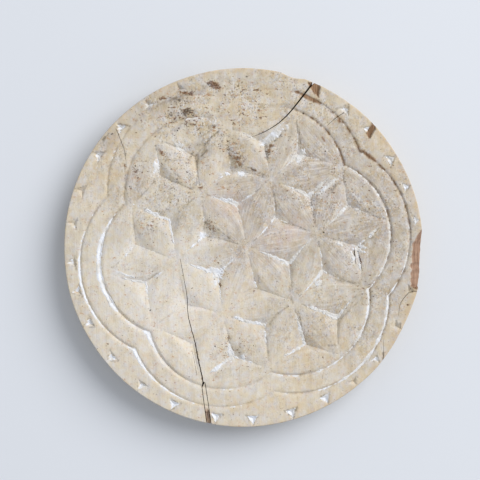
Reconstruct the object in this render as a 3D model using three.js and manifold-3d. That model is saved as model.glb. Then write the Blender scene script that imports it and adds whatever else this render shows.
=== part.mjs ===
// A carved chapati board: one round wooden plank with its face chip-carved. A compass flower of seven
// rosettes lies inside two scalloped grooves, and a row of small notches runs along the rim. The plank has
// two old drying splits, one with a loose sliver in its mouth, and a broken edge. White lime is left in
// the cuts. Millimetres, +Z up, the plain face down on z = 0, the carved face up.
import * as THREE from 'three';
import { mergeVertices } from 'three/addons/utils/BufferGeometryUtils.js';
import Module from 'manifold-3d';

const wasm = await Module();
wasm.setup();

// The plank
const BOARD_DIAMETER = 280;
const THICKNESS = 26;
const EDGE_RADIUS = 1.6;
const RIM_SEGMENTS = 96;
const EDGE_STEPS = 4;

// The layout of the face, from the rim inwards
const RIM_BORDER = 10.5;
const GROOVE_SPACING = 14.3;
const FLOWER_MARGIN = 4;
const FLOWER_OFFSET_RIGHT = 3;
const FLOWER_OFFSET_UP = 0.4;
const FLOWER_TURN = 10.5;

// The flower's chips: three facets that run down from curved edges to one deepest point
const PETAL_HALF_WIDTH = 7.4;
const HUB_RADIUS = 5;
const CHIP_DEPTH = 3.6;
const CHIP_EDGE_STEPS = 6;

// The scalloped V grooves
const INNER_GROOVE_WIDTH = 4.4;
const INNER_GROOVE_DEPTH = 1.8;
const OUTER_GROOVE_WIDTH = 3.4;
const OUTER_GROOVE_DEPTH = 1.5;
const GROOVE_SEGMENTS = 48;
const CUSP_OVERLAP = 0.5;

// The notches along the rim, spaced a little closer on the upper left than on the lower right
const NOTCH_COUNT = 30;
const NOTCH_START = 9.6;
const NOTCH_SPACING_DRIFT = 3;
const NOTCH_CLOSEST_AT = 150;
const NOTCH_SETBACK = 1.2;
const NOTCH_LENGTH = 8;
const NOTCH_WIDTH = 10.5;
const NOTCH_DEPTH = 2.6;
const NOTCH_TO_GROOVE = 0.4;

// How many degrees single notches strayed from that spacing
const NOTCH_STRAY = {
  2: -1.1, 4: -1.1, 13: 1, 15: 0.7, 16: -2, 17: -3.1, 18: -2, 19: -1, 20: -1.1, 21: 1.2, 22: 0.9, 23: 1.6,
  24: 1.4, 26: -1.7, 27: -0.9,
};

// The stretch at the top where the grooves have worn away, in degrees round the board
const WORN_FROM = 71;
const WORN_TO = 103;
const WORN_NOTCHES = [5, 6, 7, 8];
const BROKEN_NOTCHES = [29];

// The long split at the lower left, right through the plank, with a loose sliver in its mouth
const LONG_SPLIT_BENDS = [[-49, -9], [-44.2, -36], [-42.8, -54], [-38.3, -72]];
const LONG_SPLIT_MOUTH_AT = 259;
const LONG_SPLIT_HEADING = 278;
const SPLIT_TIP_WIDTH = 0.4;
const SPLIT_MOUTH_WIDTH = 0.9;
const SPLIT_STEPS = 12;
const SLIVER_LENGTH = 33;
const SLIVER_TIP_WIDTH = 2.3;
const SLIVER_WIDTH = 3.1;
const SLIVER_GAP = 0.5;
const SLIVER_CHIP_LENGTH = 11;
const SLIVER_CHIP_DEPTH = 2.2;

// The short split at the upper right, part way into the plank
const SHORT_SPLIT_BENDS = [[2.5, 85], [16.3, 90], [33.2, 102]];
const SHORT_SPLIT_MOUTH_AT = 67;
const SHORT_SPLIT_DEPTH = 18;

// The edge broken off along the grain at the right, the scoop at the top and the nick at the upper right
const BREAK_AT = -2.5;
const BREAK_LENGTH = 50;
const BREAK_WIDTH = 9.5;
const BREAK_BITE = 1.2;
const BREAK_DEPTH = 9;
const BREAK_TAPER = 18;
const SCOOP_AT = 74;
const SCOOP_RADIUS = 30;
const SCOOP_BITE = 2.2;
const NICK_AT = 42.5;
const NICK_LENGTH = 11;
const NICK_WIDTH = 4.5;
const NICK_DEPTH = 2;

// The lime left in the cuts
const LIME_CLEARANCE = 0.35;
const CHIP_LIME_REACH = 0.6;
const CHIP_LIME_SPREAD = 0.28;
const CHIP_LIME_THICKNESS = 1.2;
const LIME_ROOF_OVERRUN = 1.15;
const GROOVE_LIME_DEPTH = 1.1;
const GROOVE_LIME_CUSP_GAP = 1.5;
const NOTCH_LIME_REACH = 0.62;
const NOTCH_LIME_THICKNESS = 1.1;
const BARE_NOTCHES = [5, 6, 7, 8, 9, 25, 27, 28, 29];
const BARE_GROOVE_BEFORE_MOUTH = 7;
const BARE_GROOVE_SPAN = 31;

// How far a cutting shape stands past the surface that it cuts
const OVERCUT = 1;

const BOARD_RADIUS = BOARD_DIAMETER / 2;
const FULL_TURN = 360;
const COMPASS = (BOARD_RADIUS - RIM_BORDER - GROOVE_SPACING - FLOWER_MARGIN) / 2;
const ROSETTE_COUNT = 6;
const FLOWER_CENTRE = new THREE.Vector2(FLOWER_OFFSET_RIGHT, FLOWER_OFFSET_UP);

// How far each chip's deepest point strayed from the middle of its triangle under the knife, right and up,
// as shares of the room from there to the nearest petal
const CHIP_ROOM = COMPASS / (2 * Math.sqrt(3)) - PETAL_HALF_WIDTH;
const CHIP_DRIFT = {
  inner: [[-0.34, 0.25], [-0.29, 0.2], [-0.46, -0.28], [0.18, 0], [0.21, -0.15], [0.3, -0.29]],
  edge: [[-0.05, -0.25], [-0.14, -0.46], [-0.09, -0.05], [0.1, -0.4], [0.24, 0.3], [-0.2, 0.31]],
  left: [[-0.07, 0.12], [0, -0.38], [-0.27, 0.36], [0, 0.39], [0.16, -0.16], [0.46, -0.28]],
  right: [[0.1, 0.1], [-0.46, -0.16], [0.16, -0.38], [-0.25, 0.16], [0.06, -0.29], [0.36, -0.24]],
};

const woodColour = '#d3c6b0';
const limeColour = '#eeece6';

const wood = () => new THREE.MeshStandardMaterial({ color: woodColour, roughness: 0.88, metalness: 0 });
const lime = () => new THREE.MeshStandardMaterial({ color: limeColour, roughness: 0.95, metalness: 0 });

const radians = THREE.MathUtils.degToRad;

function polar(radius, degrees) {
  return new THREE.Vector2(radius * Math.cos(radians(degrees)), radius * Math.sin(radians(degrees)));
}

// A closed geometry as a solid with its faces pointing out, and a solid as a geometry
function solid(geometry) {
  const bare = geometry.clone();
  bare.deleteAttribute('normal');
  bare.deleteAttribute('uv');
  const merged = mergeVertices(bare, 1e-4);
  const mesh = { numProp: 3, vertProperties: merged.attributes.position.array };
  const corners = Uint32Array.from(merged.index.array);
  const triVerts = corners.filter((_, i) => {
    const first = i - (i % 3);
    const [a, b, c] = corners.slice(first, first + 3);
    return a !== b && b !== c && a !== c;
  });
  return new wasm.Manifold(new wasm.Mesh({ ...mesh, triVerts }));
}

function geometryOf(manifold) {
  const { vertProperties, triVerts } = manifold.getMesh();
  const geometry = new THREE.BufferGeometry();
  geometry.setAttribute('position', new THREE.BufferAttribute(vertProperties, 3));
  geometry.setIndex(new THREE.BufferAttribute(triVerts, 1));
  geometry.computeVertexNormals();
  return geometry;
}

// A profile of [radius, height] turned about the vertical axis
function turned(profile, segments) {
  const points = profile.map(([radius, height]) => new THREE.Vector2(radius, height));
  return new THREE.LatheGeometry(points, segments).rotateX(Math.PI / 2);
}

// A plan outline standing from one height to another
function prism(outline, bottom, top) {
  const shape = new THREE.Shape(outline);
  const geometry = new THREE.ExtrudeGeometry(shape, { depth: top - bottom, bevelEnabled: false });
  return geometry.translate(0, 0, bottom);
}

// A solid between a ring of points and one point below and one above it
function doubleCone(ring, below, above) {
  const points = [...ring, below, above];
  const index = [];
  const last = ring.length;
  ring.forEach((_, i) => {
    const next = (i + 1) % ring.length;
    index.push(next, i, last);
    index.push(i, next, last + 1);
  });
  const geometry = new THREE.BufferGeometry().setFromPoints(points);
  geometry.setIndex(index);
  return geometry;
}

// The plank's blank: a turned disc with rounded edges
function blank() {
  const corner = (height, from) => Array.from({ length: EDGE_STEPS + 1 }, (_, i) => {
    const turn = radians(from + (90 * i) / EDGE_STEPS);
    const centre = BOARD_RADIUS - EDGE_RADIUS;
    return [centre + EDGE_RADIUS * Math.cos(turn), height + EDGE_RADIUS * Math.sin(turn)];
  });
  const bottom = corner(EDGE_RADIUS, -90);
  const top = corner(THICKNESS - EDGE_RADIUS, 0);
  return solid(turned([[0, 0], ...bottom, ...top, [0, THICKNESS]], RIM_SEGMENTS));
}

// The compass flower: a lattice point for every foot of the compass, a chip in every triangle
const rosetteAngle = (k) => FLOWER_TURN + (FULL_TURN * k) / ROSETTE_COUNT;
const rosette = (k) => polar(COMPASS, rosetteAngle(k)).add(FLOWER_CENTRE);
const around = (k) => rosette(k).sub(FLOWER_CENTRE);

function chips() {
  const found = [];
  for (let k = 0; k < ROSETTE_COUNT; k += 1) {
    const middle = FLOWER_CENTRE.clone();
    const here = rosette(k);
    const next = rosette(k + 1);
    const cusp = here.clone().add(around(k + 1));
    const cuspBefore = here.clone().add(around(k - 1));
    const crest = here.clone().add(around(k));
    found.push({ name: `inner_${k + 1}`, corners: [middle, here, next], drift: CHIP_DRIFT.inner[k] });
    found.push({ name: `edge_${k + 1}`, corners: [here, cusp, next], drift: CHIP_DRIFT.edge[k] });
    found.push({ name: `left_${k + 1}`, corners: [here, crest, cusp], drift: CHIP_DRIFT.left[k] });
    found.push({ name: `right_${k + 1}`, corners: [here, cuspBefore, crest], drift: CHIP_DRIFT.right[k] });
  }
  return found.map(({ name, corners, drift }) => {
    const middle = corners.reduce((sum, p) => sum.add(p), new THREE.Vector2()).divideScalar(3);
    const towards = (p, length) => middle.clone().sub(p).setLength(length).add(p);
    const tips = corners.map((p) => towards(p, HUB_RADIUS));
    const bulges = corners.map((p, i) => {
      const halfway = p.clone().add(corners[(i + 1) % 3]).divideScalar(2);
      return towards(halfway, PETAL_HALF_WIDTH);
    });
    return { name, tips, bulges, deepest: middle.addScaledVector(new THREE.Vector2(...drift), CHIP_ROOM) };
  });
}

// A point on the way from a chip's deepest point (0) to its edge on the face (1), lifted if asked
function onChip(edge, deepest, depth, share, lift = 0) {
  const plan = deepest.clone().lerp(edge, share);
  return new THREE.Vector3(plan.x, plan.y, THICKNESS - depth * (1 - share) + lift);
}

function chipCut(outline, deepest, depth, lift = 0) {
  const pastEdge = 1 + OVERCUT / depth;
  const ring = outline.map((edge) => onChip(edge, deepest, depth, pastEdge, lift));
  const above = onChip(deepest, deepest, depth, pastEdge, lift + OVERCUT);
  return solid(doubleCone(ring, onChip(deepest, deepest, depth, 0, lift), above));
}

function flowerChipCut({ tips, bulges, deepest }, lift = 0) {
  const outline = tips.flatMap((tip, i) => {
    const next = tips[(i + 1) % 3];
    const control = bulges[i].clone().multiplyScalar(2).sub(tip.clone().add(next).divideScalar(2));
    return new THREE.QuadraticBezierCurve(tip, control, next).getPoints(CHIP_EDGE_STEPS).slice(0, -1);
  });
  return chipCut(outline, deepest, CHIP_DEPTH, lift);
}

// Lime along the three valleys of a chip: a star with an arm in each, under a roof that dips into the walls
function chipLime(chip) {
  const { tips, bulges, deepest } = chip;
  const floor = onChip(deepest, deepest, CHIP_DEPTH, 0, LIME_CLEARANCE);
  const crown = floor.clone().setZ(floor.z + CHIP_LIME_THICKNESS);
  const below = floor.clone().setZ(floor.z - CHIP_DEPTH);
  const rim = tips.flatMap((tip, i) => [
    onChip(tip, deepest, CHIP_DEPTH, CHIP_LIME_REACH, LIME_CLEARANCE),
    onChip(bulges[i], deepest, CHIP_DEPTH, CHIP_LIME_SPREAD, LIME_CLEARANCE),
  ]);
  const ring = rim.map((point) => crown.clone().lerp(point, LIME_ROOF_OVERRUN));
  return geometryOf(solid(doubleCone(ring, below, crown)).intersect(flowerChipCut(chip, LIME_CLEARANCE)));
}

// The scalloped grooves: an arc struck from each rosette, ending where it meets its neighbours
const innerRadius = COMPASS + FLOWER_MARGIN;
const innerGroove = { radius: innerRadius, width: INNER_GROOVE_WIDTH, depth: INNER_GROOVE_DEPTH };
const outerRadius = innerRadius + GROOVE_SPACING;
const outerGroove = { radius: outerRadius, width: OUTER_GROOVE_WIDTH, depth: OUTER_GROOVE_DEPTH };
const rosettes = Array.from({ length: ROSETTE_COUNT }, (_, k) => k);

function wedge(centre, from, to) {
  const reach = 2 * BOARD_DIAMETER;
  const outline = [centre, polar(reach, from).add(centre), polar(reach, to).add(centre)];
  return solid(prism(outline, -OVERCUT, THICKNESS + 2 * OVERCUT));
}

const boardCentre = new THREE.Vector2();
const bareFrom = LONG_SPLIT_MOUTH_AT - BARE_GROOVE_BEFORE_MOUTH;
const wornSector = wedge(boardCentre, WORN_FROM, WORN_TO);
const bareSector = wedge(boardCentre, bareFrom, bareFrom + BARE_GROOVE_SPAN);

function grooveArc(k, profile, halfTurn) {
  const { x, y } = rosette(k);
  const ring = solid(turned([...profile, profile[0]], GROOVE_SEGMENTS).translate(x, y, 0));
  const share = wedge(FLOWER_CENTRE, rosetteAngle(k) - halfTurn, rosetteAngle(k) + halfTurn);
  return ring.intersect(share).subtract(wornSector);
}

const halfShare = FULL_TURN / ROSETTE_COUNT / 2;

// A V section on the groove's own slopes, from its floor up by a height
function grooveSection({ radius, width, depth }, lift, height) {
  const floor = THICKNESS - depth + lift;
  const half = (height * width) / 2 / depth;
  return [[radius - half, floor + height], [radius, floor], [radius + half, floor + height]];
}

function grooveCut(k, groove) {
  const profile = grooveSection(groove, 0, groove.depth + OVERCUT);
  return grooveArc(k, profile, halfShare + CUSP_OVERLAP);
}

function grooveLime(k, groove) {
  const profile = grooveSection(groove, LIME_CLEARANCE, GROOVE_LIME_DEPTH);
  return geometryOf(grooveArc(k, profile, halfShare - GROOVE_LIME_CUSP_GAP).subtract(bareSector));
}

// How far from the board's centre the outer groove lies in one direction
function outerGrooveAt(degrees) {
  const ray = polar(1, degrees);
  const reaches = rosettes.map((k) => {
    const centre = rosette(k);
    const along = centre.dot(ray);
    const aside = centre.cross(ray);
    return along + Math.sqrt(outerGroove.radius ** 2 - aside ** 2);
  });
  return Math.max(...reaches);
}

// The notches: three-sided chips with the point outwards, as long as the border leaves room for
function notches() {
  const all = Array.from({ length: NOTCH_COUNT }, (_, i) => {
    const even = NOTCH_START + (FULL_TURN * i) / NOTCH_COUNT;
    const drift = NOTCH_SPACING_DRIFT * (1 + Math.cos(radians(even - NOTCH_CLOSEST_AT)));
    const angle = even - drift + (NOTCH_STRAY[i] ?? 0);
    const point = BOARD_RADIUS - NOTCH_SETBACK;
    const clearOfGroove = outerGrooveAt(angle) + outerGroove.width / 2 + NOTCH_TO_GROOVE;
    const base = Math.max(point - NOTCH_LENGTH, clearOfGroove);
    const size = (point - base) / NOTCH_LENGTH;
    const side = polar((NOTCH_WIDTH / 2) * Math.sqrt(size), angle + 90);
    const foot = polar(base, angle);
    const outline = [polar(point, angle), foot.clone().add(side), foot.clone().sub(side)];
    const deepest = polar(base + (point - base) / 3, angle);
    return { index: i, outline, deepest, depth: NOTCH_DEPTH * Math.sqrt(size) };
  });
  return all.filter(({ index }) => ![...WORN_NOTCHES, ...BROKEN_NOTCHES].includes(index));
}

function notchLime({ outline, deepest, depth }) {
  const ring = outline.map((edge) => onChip(edge, deepest, depth, NOTCH_LIME_REACH, LIME_CLEARANCE));
  const below = onChip(deepest, deepest, depth, 0, LIME_CLEARANCE);
  const above = below.clone().setZ(below.z + NOTCH_LIME_THICKNESS);
  return doubleCone(ring, below, above);
}

// Everything the knife took from the face
function carving() {
  return [
    ...chips().map((chip) => flowerChipCut(chip)),
    ...rosettes.map((k) => grooveCut(k, innerGroove)),
    ...rosettes.map((k) => grooveCut(k, outerGroove)),
    ...notches().map(({ outline, deepest, depth }) => chipCut(outline, deepest, depth)),
  ];
}

const cutAway = (body, cuts) => cuts.reduce((rest, cut) => rest.subtract(cut), body);

// A split's plan: a ribbon along its bends that widens from its tip to its mouth
function ribbon(bends, tipWidth, mouthWidth) {
  const curve = new THREE.SplineCurve(bends);
  const left = [];
  const right = [];
  for (let i = 0; i <= SPLIT_STEPS; i += 1) {
    const t = i / SPLIT_STEPS;
    const tangent = curve.getTangent(t);
    const side = new THREE.Vector2(-tangent.y, tangent.x);
    const half = THREE.MathUtils.lerp(tipWidth, mouthWidth, t) / 2;
    left.push(curve.getPoint(t).addScaledVector(side, half));
    right.push(curve.getPoint(t).addScaledVector(side, -half));
  }
  return [...right, ...left.reverse()];
}

const bendsOf = (list) => list.map(([x, y]) => new THREE.Vector2(x, y));

// The sliver's pocket: a wedge from the fork of the long split to the rim
const mouth = polar(BOARD_RADIUS, LONG_SPLIT_MOUTH_AT);
const heading = polar(1, LONG_SPLIT_HEADING);
const across = new THREE.Vector2(-heading.y, heading.x);
const fork = mouth.clone().addScaledVector(heading, -SLIVER_LENGTH);
const pastRim = SLIVER_LENGTH + EDGE_RADIUS;

function forkWedge(from, to, tipHalf, mouthHalf) {
  const corner = (along, side) => fork.clone().addScaledVector(heading, along).addScaledVector(across, side);
  return [corner(from, -tipHalf), corner(to, -mouthHalf), corner(to, mouthHalf), corner(from, tipHalf)];
}

function longSplit() {
  const bends = [...bendsOf(LONG_SPLIT_BENDS), fork.clone().addScaledVector(heading, OVERCUT)];
  const strand = ribbon(bends, SPLIT_TIP_WIDTH, SPLIT_MOUTH_WIDTH);
  const pocket = forkWedge(0, pastRim, SLIVER_TIP_WIDTH / 2 + SLIVER_GAP, SLIVER_WIDTH / 2 + SLIVER_GAP);
  const bottom = -OVERCUT;
  const top = THICKNESS + OVERCUT;
  return solid(prism(strand, bottom, top)).add(solid(prism(pocket, bottom, top)));
}

// The sliver: a wedge of the same plank with the carving running on over it, chipped away near the rim
function sliver() {
  const plan = forkWedge(SLIVER_GAP, pastRim, SLIVER_TIP_WIDTH / 2, SLIVER_WIDTH / 2);
  const whole = solid(prism(plan, -OVERCUT, THICKNESS + OVERCUT)).intersect(blank());
  const chipFrom = SLIVER_LENGTH - SLIVER_CHIP_LENGTH;
  const chipPlan = forkWedge(chipFrom, pastRim + OVERCUT, SLIVER_WIDTH, SLIVER_WIDTH);
  const chip = solid(prism(chipPlan, THICKNESS - SLIVER_CHIP_DEPTH, THICKNESS + OVERCUT));
  return geometryOf(cutAway(whole, [...carving(), chip]));
}

function shortSplit() {
  const bends = [...bendsOf(SHORT_SPLIT_BENDS), polar(BOARD_RADIUS + OVERCUT, SHORT_SPLIT_MOUTH_AT)];
  const strand = ribbon(bends, SPLIT_TIP_WIDTH, SPLIT_MOUTH_WIDTH);
  return solid(prism(strand, THICKNESS - SHORT_SPLIT_DEPTH, THICKNESS + OVERCUT));
}

// The broken edge: a long facet along the grain that runs out at its upper end
function brokenEdge() {
  const rim = BOARD_RADIUS;
  const outside = rim + BREAK_WIDTH;
  const end = BREAK_LENGTH / 2;
  const plan = bendsOf([
    [rim - BREAK_WIDTH, -end], [outside, -end], [outside, end],
    [rim, end], [rim - BREAK_WIDTH, end - BREAK_TAPER],
  ]);
  const top = THICKNESS + OVERCUT;
  const slope = (BREAK_WIDTH - BREAK_BITE) / BREAK_DEPTH;
  const section = bendsOf([
    [rim - BREAK_WIDTH - OVERCUT * slope, top], [rim - BREAK_BITE, THICKNESS - BREAK_DEPTH],
    [rim - BREAK_BITE, -OVERCUT], [outside, -OVERCUT], [outside, top],
  ]);
  const bevel = prism(section, -BREAK_LENGTH, BREAK_LENGTH).rotateX(Math.PI / 2);
  const turn = radians(BREAK_AT);
  return solid(prism(plan, -OVERCUT, top).rotateZ(turn)).intersect(solid(bevel.rotateZ(turn)));
}

function topScoop() {
  const height = THICKNESS + 2 * OVERCUT;
  const place = polar(BOARD_RADIUS + SCOOP_RADIUS - SCOOP_BITE, SCOOP_AT);
  const bit = new THREE.CylinderGeometry(SCOOP_RADIUS, SCOOP_RADIUS, height, RIM_SEGMENTS);
  return solid(bit.rotateX(Math.PI / 2).translate(place.x, place.y, THICKNESS / 2));
}

function rimNick() {
  const height = NICK_DEPTH + OVERCUT;
  const chisel = new THREE.BoxGeometry(NICK_LENGTH + EDGE_RADIUS, NICK_WIDTH, height);
  const place = polar(BOARD_RADIUS - NICK_LENGTH / 2 + EDGE_RADIUS / 2, NICK_AT);
  const level = THICKNESS - NICK_DEPTH + height / 2;
  return solid(chisel.rotateZ(radians(NICK_AT)).translate(place.x, place.y, level));
}

function carvedBoard() {
  const damage = [longSplit(), shortSplit(), brokenEdge(), topScoop(), rimNick()];
  return geometryOf(cutAway(blank(), [...carving(), ...damage]));
}

const chapatiBoard = new THREE.Group();

function piece(name, geometry, material) {
  const mesh = new THREE.Mesh(geometry, material);
  mesh.name = name;
  chapatiBoard.add(mesh);
}

piece('board', carvedBoard(), wood());
piece('split_sliver', sliver(), wood());
chips().forEach((chip) => piece(`lime_chip_${chip.name}`, chipLime(chip), lime()));
rosettes.forEach((k) => piece(`lime_inner_groove_${k + 1}`, grooveLime(k, innerGroove), lime()));
rosettes.forEach((k) => piece(`lime_outer_groove_${k + 1}`, grooveLime(k, outerGroove), lime()));
notches().filter(({ index }) => !BARE_NOTCHES.includes(index)).forEach((notch) => {
  piece(`lime_notch_${String(notch.index + 1).padStart(2, '0')}`, notchLime(notch), lime());
});

export default chapatiBoard;
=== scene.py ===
# A hand-carved chapati board: one round of bleached wood with a compass flower cut into its face and white
# lime left in the cuts. Plan points are complex numbers, right + up * 1j, in millimetres from the middle.
import math
from types import SimpleNamespace

import bpy
import numpy as np
from mathutils.geometry import delaunay_2d_cdt
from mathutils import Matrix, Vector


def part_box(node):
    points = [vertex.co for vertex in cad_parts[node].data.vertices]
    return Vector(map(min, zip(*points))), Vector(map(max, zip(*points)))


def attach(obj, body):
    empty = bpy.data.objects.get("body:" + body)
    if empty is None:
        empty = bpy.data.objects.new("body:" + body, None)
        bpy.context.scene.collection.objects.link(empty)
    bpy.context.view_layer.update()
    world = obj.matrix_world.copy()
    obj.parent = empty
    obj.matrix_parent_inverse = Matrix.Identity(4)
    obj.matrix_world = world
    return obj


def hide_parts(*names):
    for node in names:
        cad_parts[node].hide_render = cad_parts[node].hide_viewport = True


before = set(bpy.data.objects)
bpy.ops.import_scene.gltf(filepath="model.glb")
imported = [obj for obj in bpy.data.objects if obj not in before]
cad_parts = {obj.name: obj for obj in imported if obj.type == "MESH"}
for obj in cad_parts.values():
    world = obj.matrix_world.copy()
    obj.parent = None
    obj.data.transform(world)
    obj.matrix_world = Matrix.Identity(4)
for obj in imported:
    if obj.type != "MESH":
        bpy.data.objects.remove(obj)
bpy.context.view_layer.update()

# The plank: one round of pale hardwood, sawn along the grain and trued by hand, so that its rim wanders a
# little. It lies on its plain rolling face. Two drying splits run in from the rim, the long one right
# through, the edge has broken off along the grain at the right, and the top of the face has worn hollow.
MM = 0.001
low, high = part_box("board")
RADIUS = (high.y - low.y) / 2 / MM
THICKNESS = (high.z - low.z) / MM
EDGE_RADIUS = 0.9
RIM_WANDER, RIM_STEPS = 0.6, 8 * 360
RIM_FLAT_AT, RIM_FLAT_SPAN, RIM_FLAT_BITE = -28, 14, 0.9
SCOOP_AT, SCOOP_RADIUS, SCOOP_BITE = 74, 30, 2.2
BREAK_AT, BREAK_LENGTH, BREAK_TAPER = -2.5, 50, 18
BREAK_WIDTH, BREAK_BITE, BREAK_DEPTH, BREAK_OVERRUN, BREAK_LOWER_END = 9.5, 1.2, 9, 1, (-0.3, 0.5)
# Bumps are given by their height, their width across the grain, their length along it and a seed.
RIM_WAVES = [(1, 38, 38, 1)]
BREAK_SPLINTERS = [(0.25, 1, 2.2, 2)]
NOISE_CELLS = 512


def polar(radius, degrees):
    return radius * np.exp(1j * np.radians(degrees))


def bearing(spot):
    """The direction of a spot from the middle of the board, from 0 to 360 degrees."""
    return np.degrees(np.angle(spot)) % 360


def unevenness(spot, across, along, seed):
    """Smooth noise between -1 and 1, with bumps so wide across the grain and so long along it."""
    table = np.random.default_rng(seed).uniform(-1, 1, (NOISE_CELLS, NOISE_CELLS))
    x = np.real(spot) / across
    y = np.imag(spot) / along
    i = np.floor(x).astype(int)
    j = np.floor(y).astype(int)
    u = (x - i) ** 2 * (3 - 2 * (x - i))
    v = (y - j) ** 2 * (3 - 2 * (y - j))

    def corner(right, up):
        return table[(i + right) % NOISE_CELLS, (j + up) % NOISE_CELLS]

    near = corner(0, 0) * (1 - u) + corner(1, 0) * u
    far = corner(0, 1) * (1 - u) + corner(1, 1) * u
    return near * (1 - v) + far * v


def uneven(spot, bumps):
    """Bumps of several sizes on top of one another."""
    return sum(height * unevenness(spot, across, along, seed) for height, across, along, seed in bumps)


def patchy(spot, bumps, start, end):
    """Patches where bumps rise: 0 up to a start, 1 from an end on."""
    return rise(uneven(spot, bumps), start, end)


def at_least(least, share):
    """A share that starts from a least value instead of from 0."""
    return least + (1 - least) * share


def rise(value, start, end):
    """0 at start, 1 at end and smooth between them, where end may be the lower one."""
    share = np.clip((value - start) / (end - start), 0, 1)
    return share * share * (3 - 2 * share)


def worn(value, softness):
    """The part of a value above zero, with its corner at zero rubbed round."""
    return softness * np.logaddexp(0, value / softness)


def off_angle(degrees, middle):
    return (degrees - middle + 180) % 360 - 180


def break_frame(spot):
    """A spot seen square to the broken edge: how far out it lies, and how far along the edge."""
    turned = spot * polar(1, -BREAK_AT)
    return turned.real, turned.imag


def rim_reach(degrees):
    """How far the rim lies from the middle of the board in each direction."""
    ray = polar(1, degrees)
    reach = RADIUS - RIM_WANDER * (1 + uneven(ray * RADIUS, RIM_WAVES)) / 2
    flat = np.clip(1 - np.abs(off_angle(degrees, RIM_FLAT_AT)) / RIM_FLAT_SPAN, 0, 1)
    reach = reach - RIM_FLAT_BITE * np.sin(flat * np.pi / 2)
    scoop = polar(RADIUS + SCOOP_RADIUS - SCOOP_BITE, SCOOP_AT) * np.conj(ray)
    room = np.clip(SCOOP_RADIUS ** 2 - scoop.imag ** 2, 0, None)
    faces_scoop = (room > 0) & (scoop.real > 0)
    reach = np.where(faces_scoop, np.minimum(reach, scoop.real - np.sqrt(room)), reach)
    _, along = break_frame(ray * RADIUS)
    off = off_angle(degrees, BREAK_AT)
    chord = RADIUS - BREAK_BITE + uneven(along * 1j, BREAK_SPLINTERS)
    chord = chord / np.clip(np.cos(np.radians(off)), 0.1, 1)
    broken = (np.abs(along) < BREAK_LENGTH / 2) & (np.abs(off) < 90)
    return np.where(broken, np.minimum(reach, chord), reach)


all_round = np.linspace(0, 360, RIM_STEPS + 1)
reach_all_round = rim_reach(all_round)


def inset(spot):
    """How far inside the rim a spot lies."""
    return np.interp(bearing(spot), all_round, reach_all_round) - np.abs(spot)


def edge_drop(spot):
    """How far the rounded edge falls away towards the rim."""
    left = EDGE_RADIUS - np.clip(inset(spot), 0, EDGE_RADIUS)
    return EDGE_RADIUS - np.sqrt(EDGE_RADIUS ** 2 - left ** 2)


# The carving's layout: a lattice with one compass opening between its points, a chip in every triangle of
# it, and two scalloped grooves struck from the same points. Each chip's deepest point strayed a little.
RIM_BORDER, GROOVE_SPACING, FLOWER_MARGIN = 10.5, 14.3, 4
COMPASS = (RADIUS - RIM_BORDER - GROOVE_SPACING - FLOWER_MARGIN) / 2
FLOWER_CENTRE = 3 + 0.4j
FLOWER_TURN = 10.5
ROSETTES = range(6)
CHIP_DEPTH = 3.6
PETAL_HALF_WIDTH = 7.4
CHIP_ROOM = COMPASS / (2 * math.sqrt(3)) - PETAL_HALF_WIDTH
RIDGE_WEAR, CREASE_START = 0.09, 0.15
CHIP_DRIFT = {
    "inner": [(-0.34, 0.25), (-0.29, 0.2), (-0.46, -0.28), (0.18, 0), (0.21, -0.15), (0.3, -0.29)],
    "edge": [(-0.05, -0.25), (-0.14, -0.46), (-0.09, -0.05), (0.1, -0.4), (0.24, 0.3), (-0.2, 0.31)],
    "left": [(-0.07, 0.12), (0, -0.38), (-0.27, 0.36), (0, 0.39), (0.16, -0.16), (0.46, -0.28)],
    "right": [(0.1, 0.1), (-0.46, -0.16), (0.16, -0.38), (-0.25, 0.16), (0.06, -0.29), (0.36, -0.24)],
}


def around(k):
    return polar(COMPASS, FLOWER_TURN + 60 * k)


def flower_chip(name, corners, drift):
    """A chip whose three facets run down at their own slopes from compass arcs to one deepest point."""
    middle = sum(corners) / 3
    deepest = middle + CHIP_ROOM * complex(*drift)
    strikes = [sum(corners) - 2 * corners[(i + 2) % 3] for i in range(3)]
    runs = [abs(deepest - strike) - COMPASS for strike in strikes]
    return SimpleNamespace(name=name, corners=corners, middle=middle, deepest=deepest, strikes=strikes,
                           runs=runs)


def flower_chips():
    for k in ROSETTES:
        here = FLOWER_CENTRE + around(k)
        triangles = {
            "inner": (FLOWER_CENTRE, here, FLOWER_CENTRE + around(k + 1)),
            "edge": (here, here + around(k + 1), FLOWER_CENTRE + around(k + 1)),
            "left": (here, here + around(k), here + around(k + 1)),
            "right": (here, here + around(k - 1), here + around(k)),
        }
        for kind, corners in triangles.items():
            yield flower_chip(f"{kind}_{k + 1}", corners, CHIP_DRIFT[kind][k])


chips = list(flower_chips())


def chip_facets(chip, spot):
    """How far down each facet of a chip a spot lies, from 0 on the facet's edge to 1 at the deepest point."""
    return [(abs(spot - strike) - COMPASS) / run for strike, run in zip(chip.strikes, chip.runs)]


def chip_share(chip, spot):
    """1 at a chip's deepest point, 0 on its edge, and below 0 outside it."""
    near = abs(spot - chip.middle) < COMPASS / math.sqrt(3)
    return np.where(near, np.min(chip_facets(chip, spot), axis=0), -1)


def chip_valley(chip, corner, steps):
    """The crease from a corner of a chip to its deepest point, where two facets meet."""
    a, b = chip.strikes[corner - 1], chip.strikes[corner]
    depth = np.linspace(CREASE_START, 1, steps) ** 2
    reach_a = COMPASS + depth * chip.runs[corner - 1]
    reach_b = COMPASS + depth * chip.runs[corner]
    apart = abs(b - a)
    along = (apart ** 2 + reach_a ** 2 - reach_b ** 2) / (2 * apart)
    aside = np.sqrt(np.clip(reach_a ** 2 - along ** 2, 0, None))
    heading = (b - a) / apart
    left = a + heading * (along + 1j * aside)
    right = a + heading * (along - 1j * aside)
    return left if abs(left[-1] - chip.deepest) < abs(right[-1] - chip.deepest) else right


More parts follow.
